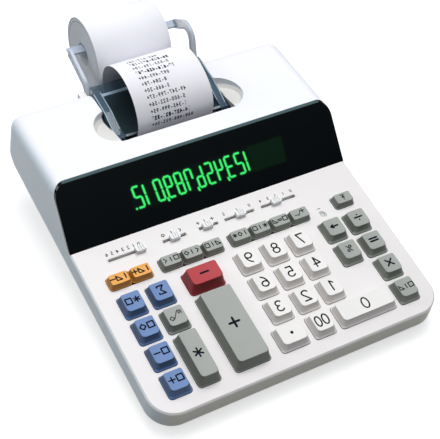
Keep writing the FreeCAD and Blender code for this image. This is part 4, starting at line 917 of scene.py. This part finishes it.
def make_cover_edges(edge, steel):
    """Moulded beads along the cover's rails in a light tone, a painted highlight on its edges,
    and the steel tear strip at its front edge.

    The strip's front edge is a zigzag: its points lie in turn on two rows.
    """
    rail = [(157.5, 19.55), (164.0, 21.05), (172.0, 22.87), (178.5, 24.35), (180.3, 24.7), (188.0, 24.7),
            (197.5, 24.7)]
    cover_half = 42.4
    shapes = []
    for side in (-1, 1):
        for inset, half in ((0.45, 0.45), (5.2, 0.35)):
            shapes.append(swept(rail, round_bar(half, 0.22), BAY_CENTRE + side * (cover_half - inset)))
    rear_rib = [(-37, -0.1), (37, -0.1), (37, 0.12), (-37, 0.12)]
    shapes.append(swept([(193.6, 24.7), (196.0, 24.7)], rear_rib, BAY_CENTRE))
    add_piece("cover_beads", *joined(shapes), edge, "cutter_cover", slot="smoked_cover")

    teeth, low, high = 48, 22.2, 22.44
    across = np.linspace(-36.0, 36.0, teeth * 2 + 1) + BAY_CENTRE
    front = np.where(np.arange(len(across)) % 2, 157.2, 157.9)
    rear = np.full(len(across), 159.4)
    corners = [np.stack([across, row, np.full(len(across), height)], -1)
               for row, height in ((front, low), (front, high), (rear, high), (rear, low))]
    points, faces = closed_loft(np.stack(corners, 1)[::-1])
    add_piece("tear_strip", points, faces, steel, "cutter_cover", slot="frame_steel", sharp=20.0)


def eased(corners, radius):
    """A line through corners with each inner corner turned by an arc of the radius, in short steps."""
    longest = 2.5
    corners = [np.array(corner, float) for corner in corners]
    line = [corners[0]]
    for before, here, after in zip(corners, corners[1:], corners[2:]):
        a, b = before - here, after - here
        a, b = a / np.linalg.norm(a), b / np.linalg.norm(b)
        half = math.acos(float(a @ b)) / 2
        reach = radius / math.tan(half)
        centre = here + (a + b) / np.linalg.norm(a + b) * radius / math.sin(half)
        start, end = here + a * reach - centre, here + b * reach - centre
        for share in np.linspace(0, 1, 9):
            mixed = start * (1 - share) + end * share
            line.append(centre + mixed / np.linalg.norm(mixed) * radius)
    line.append(corners[-1])
    dense = [line[0]]
    for point in line[1:]:
        runs = max(1, int(np.linalg.norm(point - dense[-1]) / longest))
        dense += [dense[-1] + (point - dense[-1]) * share for share in np.linspace(0, 1, runs + 1)[1:]]
    return np.array(dense)


def along_x(start, end, centre, section):
    """A section in the side plane carried across from one X to another."""
    section = np.asarray(section, float) + centre
    rings = [np.concatenate([np.full((len(section), 1), x), section], -1) for x in np.linspace(start, end, 9)]
    return closed_loft(np.stack(rings))


def make_holder(finish):
    """The roll holder: two arms with rims along their edges, a hinge bar between them and two tongues.

    An arm's section is a flat bar with its broad sides sunk between rounded rims. The tongues reach into
    the roll's hole from both sides, and the roll hangs on them.
    """
    hinge, hub = (209.5, 6.0), (ROLL_ROW, ROLL_HEIGHT + 6.0)
    left, right = -40.9, 42.5
    thick, half, rim, sunk = 1.3, 3.5, 2.3, 0.75
    arm = [(sunk, -1.9), (sunk, 1.9), (thick, rim), (thick, 3.1), (0.9, half), (-0.9, half), (-thick, 3.1),
           (-thick, rim), (-sunk, 1.9), (-sunk, -1.9), (-thick, -rim), (-thick, -3.1), (-0.9, -half),
           (0.9, -half), (thick, -3.1), (thick, -rim)]
    shapes = []
    for x, run, climb in ((left, 7, 8), (right, 14, 31)):
        elbow = (hinge[0] + run, hinge[1] + climb)
        shapes.append(swept(eased([hinge, elbow, hub], 9.0), arm, x))
    shapes.append(along_x(left - thick, right + thick, hinge, rounded_ring(2.5, 2.5, 0.8, 0.8)))
    shapes.append(along_x(left - 6.8, right + 6.8, hinge, round_bar(1.6, 1.6, 24)))
    tongue, tip = 0.9, 20.5
    rest = math.sqrt(7.95 ** 2 - half ** 2)
    for start, end in ((left - thick, PAPER_CENTRE - tip), (PAPER_CENTRE + tip, right + thick)):
        shapes.append(along_x(start, end, (ROLL_ROW, ROLL_HEIGHT + rest - tongue),
                              rounded_ring(half, tongue, 0.6, 0.6)))
    add_piece("roll_holder", *joined(shapes), finish, "paper_holder", ["paper_holder"], "holder_plastic", 40.0)


# Slide switches and their marks

# The ends of the five slots across, their row and half their width, and the row of the marks behind them.
SLOTS = ((-84.0, -58.8), (-44.9, -27.6), (-18.1, -3.6), (1.2, 24.0), (29.4, 56.4))
SLOT_ROW = 84.6
SLOT_HALF = 1.2
MARK_ROW = 89.2
RESET_AT = (65.9, 63.2)


def make_slots(rim, top):
    """Low rounded lips round the five slots, and the switches' light tops below them.

    A lip's section runs from under the deck's surface over a crown and down the slot's wall, all round.
    Each of its points is (out at the ends, out at the sides, height, corner radius).
    """
    lip = ((0.95, 0.95, -0.3, 1.7), (0.85, 0.85, 0.02, 1.6), (0.45, 0.45, 0.17, 1.1), (0.1, 0.15, 0.2, 0.5),
           (-0.04, -0.1, 0.15, 0.3), (-0.05, -0.19, 0.0, 0.2), (-0.05, -0.19, -1.5, 0.2), (0.4, 0.4, -1.5, 0.5))
    block = ((0.0, 2.0, -5.39, 0.8), (0.0, 2.0, -4.5, 0.8), (-0.15, 1.85, -4.35, 0.7))
    lips, tops = [], []
    for left, right in SLOTS:
        half, middle = (right - left) / 2, ((left + right) / 2, SLOT_ROW)
        lip_rings, top_rings = ([level_ring((half + end, SLOT_HALF + side), middle, corner, corner, height)
                                 for end, side, height, corner in profile] for profile in (lip, block))
        lips.append(hoop(lip_rings))
        tops.append(closed_loft(np.stack(top_rings)))
    add_piece("slot_lips", *joined(lips), rim, CASE, slot="upper_plastic", sharp=50.0)
    add_piece("switch_tops", *joined(tops), top, CASE, slot="knob_grey")


def make_marks(ink):
    """Printed scale marks behind the slide switches, and part of a ring and a dash at the reset button."""
    rows = ((zip(np.linspace(-83.0, -60.0, 7), "6543210"), 3.8, 0.06),
            (((-42.6, "diamond"), (-36.3, "bar"), (-30.0, "chevron")), 2.3, 0.55),
            (((-16.6, "plus"), (-11.6, "bar"), (-6.0, "plus")), 2.2, 0.55),
            (((3.0, "2"), (13.0, "1"), (22.6, "0")), 3.4, 0.05),
            (zip(np.linspace(31.4, 55.4, 5), "43210"), 3.4, 0.05))
    shapes = [moved((sign if mark in SIGNS else lettering)(mark, size, weight), x, MARK_ROW)
              for marks, size, weight in rows for x, mark in marks]
    ring = arc((0, 0), 2.7, -60, 130, 12)
    shapes += [moved(strokes([ring], 0.28), *RESET_AT),
               moved(sign("minus", 2.2, 0.5), RESET_AT[0], RESET_AT[1] + 5.2)]
    points, faces = joined(shapes)
    points[:, 2] = np.where(points[:, 2] > 0, 0.03, -0.08)
    add_piece("scale_marks", points, faces, ink, CASE, slot="upper_plastic")


# Stage

# The camera's focal length in pixels of a picture 440 wide, its place in metres, and its right, down and
# ahead directions in the deck's frame.
FOCAL_PIXELS, PICTURE_WIDE = 1165.314, 440
CAMERA_PLACE = (-0.295006, -0.468625, 0.604569)
CAMERA_AXES = ((0.87302, -0.4671, 0.14019), (-0.30717, -0.74994, -0.58586), (0.37879, 0.4684, -0.7982))


def make_camera():
    """The camera at the picture's viewing angle."""
    data = bpy.data.cameras.new("camera")
    data.sensor_width = 36.0
    data.lens = FOCAL_PIXELS / PICTURE_WIDE * data.sensor_width
    data.clip_start, data.clip_end = 0.01, 20.0
    thing = placed("camera", data)
    turn = np.array([[1, 0, 0], [0, DECK_COS, -DECK_SIN], [0, DECK_SIN, DECK_COS]])
    right, down, ahead = (turn @ np.array(axis) for axis in CAMERA_AXES)
    place = Matrix(np.stack([right, -down, -ahead], -1).tolist()).to_4x4()
    place.translation = Vector(CAMERA_PLACE)
    thing.matrix_world = place
    bpy.context.scene.camera = thing


def make_floor():
    """A pale floor: white to the camera where it is lit, greyer where the object shades it."""
    size, pale = 6.0, (0.62, 0.62, 0.62, 1)
    mesh = bpy.data.meshes.new("floor")
    corners = [(-size, -size, 0), (size, -size, 0), (size, size, 0), (-size, size, 0)]
    mesh.from_pydata(corners, [], [(0, 1, 2, 3)])
    f = Finish("floor_paint", Roughness=0.9, Specular_IOR_Level=0.0, Emission_Strength=1.0)
    rays = f.node("LightPath").outputs
    direct = Amount(f, rays["Is Camera Ray"])
    for kind in ("Is Glossy Ray", "Is Transmission Ray"):
        direct = direct.most(Amount(f, rays[kind]))
    f.paint((0.24, 0.24, 0.23, 1), pale, direct)
    f.set("Emission Color", f.blend((0, 0, 0, 1), pale, direct))
    mesh.materials.append(f.material)
    thing = placed("floor", mesh)


def make_light(name, place, size, power, colour):
    """A soft square lamp that looks at the middle of the object."""
    data = bpy.data.lights.new(name, "AREA")
    data.size = size
    data.energy = power
    data.color = colour
    thing = placed(name, data)
    thing.location = place
    thing.rotation_euler = (Vector((0, 0, 0.03)) - Vector(place)).to_track_quat("-Z", "Y").to_euler()


def make_world():
    """Soft surroundings: bright overhead, dim near the horizon, and plain white to the camera."""
    world = bpy.data.worlds.new("studio")
    bpy.context.scene.world = world
    world.use_nodes = True
    nodes, link = world.node_tree.nodes, world.node_tree.links.new
    around = nodes["Background"]
    place, split, ramp, white, seen, either = (nodes.new("ShaderNode" + kind) for kind in (
        "TexCoord", "SeparateXYZ", "ValToRGB", "Background", "LightPath", "MixShader"))
    link(place.outputs["Generated"], split.inputs[0])
    link(split.outputs[2], ramp.inputs[0])
    stops = ramp.color_ramp.elements
    stops[0].position, stops[0].color = 0.40, (0.050, 0.060, 0.068, 1)
    stops[1].position, stops[1].color = 0.90, (0.62, 0.63, 0.66, 1)
    link(ramp.outputs[0], around.inputs["Color"])
    white.inputs["Color"].default_value = (1, 1, 1, 1)
    link(seen.outputs["Is Camera Ray"], either.inputs[0])
    link(around.outputs[0], either.inputs[1])
    link(white.outputs[0], either.inputs[2])
    link(either.outputs[0], nodes["World Output"].inputs["Surface"])


bpy.context.scene.view_settings.view_transform = "Standard"
make_camera()
make_floor()
make_world()
make_light("overhead", (0.15, 0.25, 1.3), 0.8, 12.0, (1.0, 1.0, 1.0))
make_light("rear_left", (-0.9, 0.75, 0.6), 0.5, 3.0, (0.93, 0.97, 1.0))

# Each key's colour comes twice: its top, and a darker copy that is painted shade on its sides.
key_lit_and_shaded_colours = {"white": ((241, 239, 236), (214, 210, 206)), "grey": ((162, 166, 160), (114, 119, 110)),
               "blue": ((100, 134, 186), (64, 86, 122)), "red": ((180, 40, 50), (140, 28, 36)),
               "orange": ((238, 168, 72), (192, 124, 46))}
key_finishes = {name: key_plastic(name + "_key", screen(*top), screen(*side))
                for name, (top, side) in key_lit_and_shaded_colours.items()}
knob = moulded("knob_plastic", screen(238, 239, 240), 0.45)
case_finish = make_case_finish()
digit_light = make_light_finish("display_light", (0.02, 0.82, 0.11, 1), (0.05, 1.0, 0.2, 1))
digit_haze = make_light_finish("display_haze", (0.0, 0.05, 0.01, 1), (0.0, 0.075, 0.014, 1))

# Every CAD node that stays in sight gets the finish of its own material.
node_finishes = {
    "upper_case": case_finish,
    "lower_case": moulded("lower_plastic", screen(196, 198, 190), 0.5, 0.35, 0.00005),
    "display_window": make_window_finish(),
    "display_tube": moulded("tube_glass", screen(30, 46, 42), 0.15, 0.05),
    "main_board": make_board_finish(),
    "key_mat": moulded("mat_rubber", screen(150, 150, 146), 0.7),
    "printer_frame": metal("frame_steel", (0.6, 0.61, 0.62), 0.35, (1, 1, 12)),
    "motor": metal("motor_steel", (0.5, 0.51, 0.53), 0.3, (10, 1, 1)),
    "motor_pinion": metal("pinion_brass", (0.72, 0.55, 0.25), 0.3, (6, 1, 1)),
    "print_drum": moulded("drum_plastic", screen(36, 36, 40), 0.35),
    "ink_roller": moulded("ink_felt", screen(34, 22, 56), 0.9, 0.8, 0.0002),
    "feed_roller": moulded("roller_rubber", screen(34, 34, 34), 0.75, 0.5, 0.00006),
    "cutter_cover": make_cover_finish(),
    "rubber_feet": moulded("feet_rubber", screen(38, 38, 38), 0.8, 0.5, 0.0001),
    "reset_button": moulded("reset_plastic", screen(200, 202, 204), 0.45),
    **{name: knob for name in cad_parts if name.startswith("slider_")},
}
for name, finish in node_finishes.items():
    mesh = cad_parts[name].data
    mesh.materials.clear()
    mesh.materials.append(finish.material)

make_keys(key_finishes, ink("black_ink", screen(5, 5, 8)), ink("navy_ink", screen(6, 12, 30)),
          case_finish)
make_digits("display_digits", digit_light, 1.35, 0.05)
make_digits("display_glow", digit_haze, 2.5, 0.0)
make_tape(make_paper_finish(), ink("tape_ink", screen(12, 12, 18)))
make_roll(make_roll_finish())
make_slots(case_finish, knob)
# The beads' light blue-grey is a painted highlight on the cover's edges.
make_cover_edges(moulded("bead_highlight", screen(150, 172, 188), 0.25, 0.05),
                 metal("tear_steel", (0.16, 0.18, 0.2), 0.4, (1, 12, 1)))
make_holder(make_holder_finish())
make_marks(ink("grey_ink", screen(40, 42, 46)))
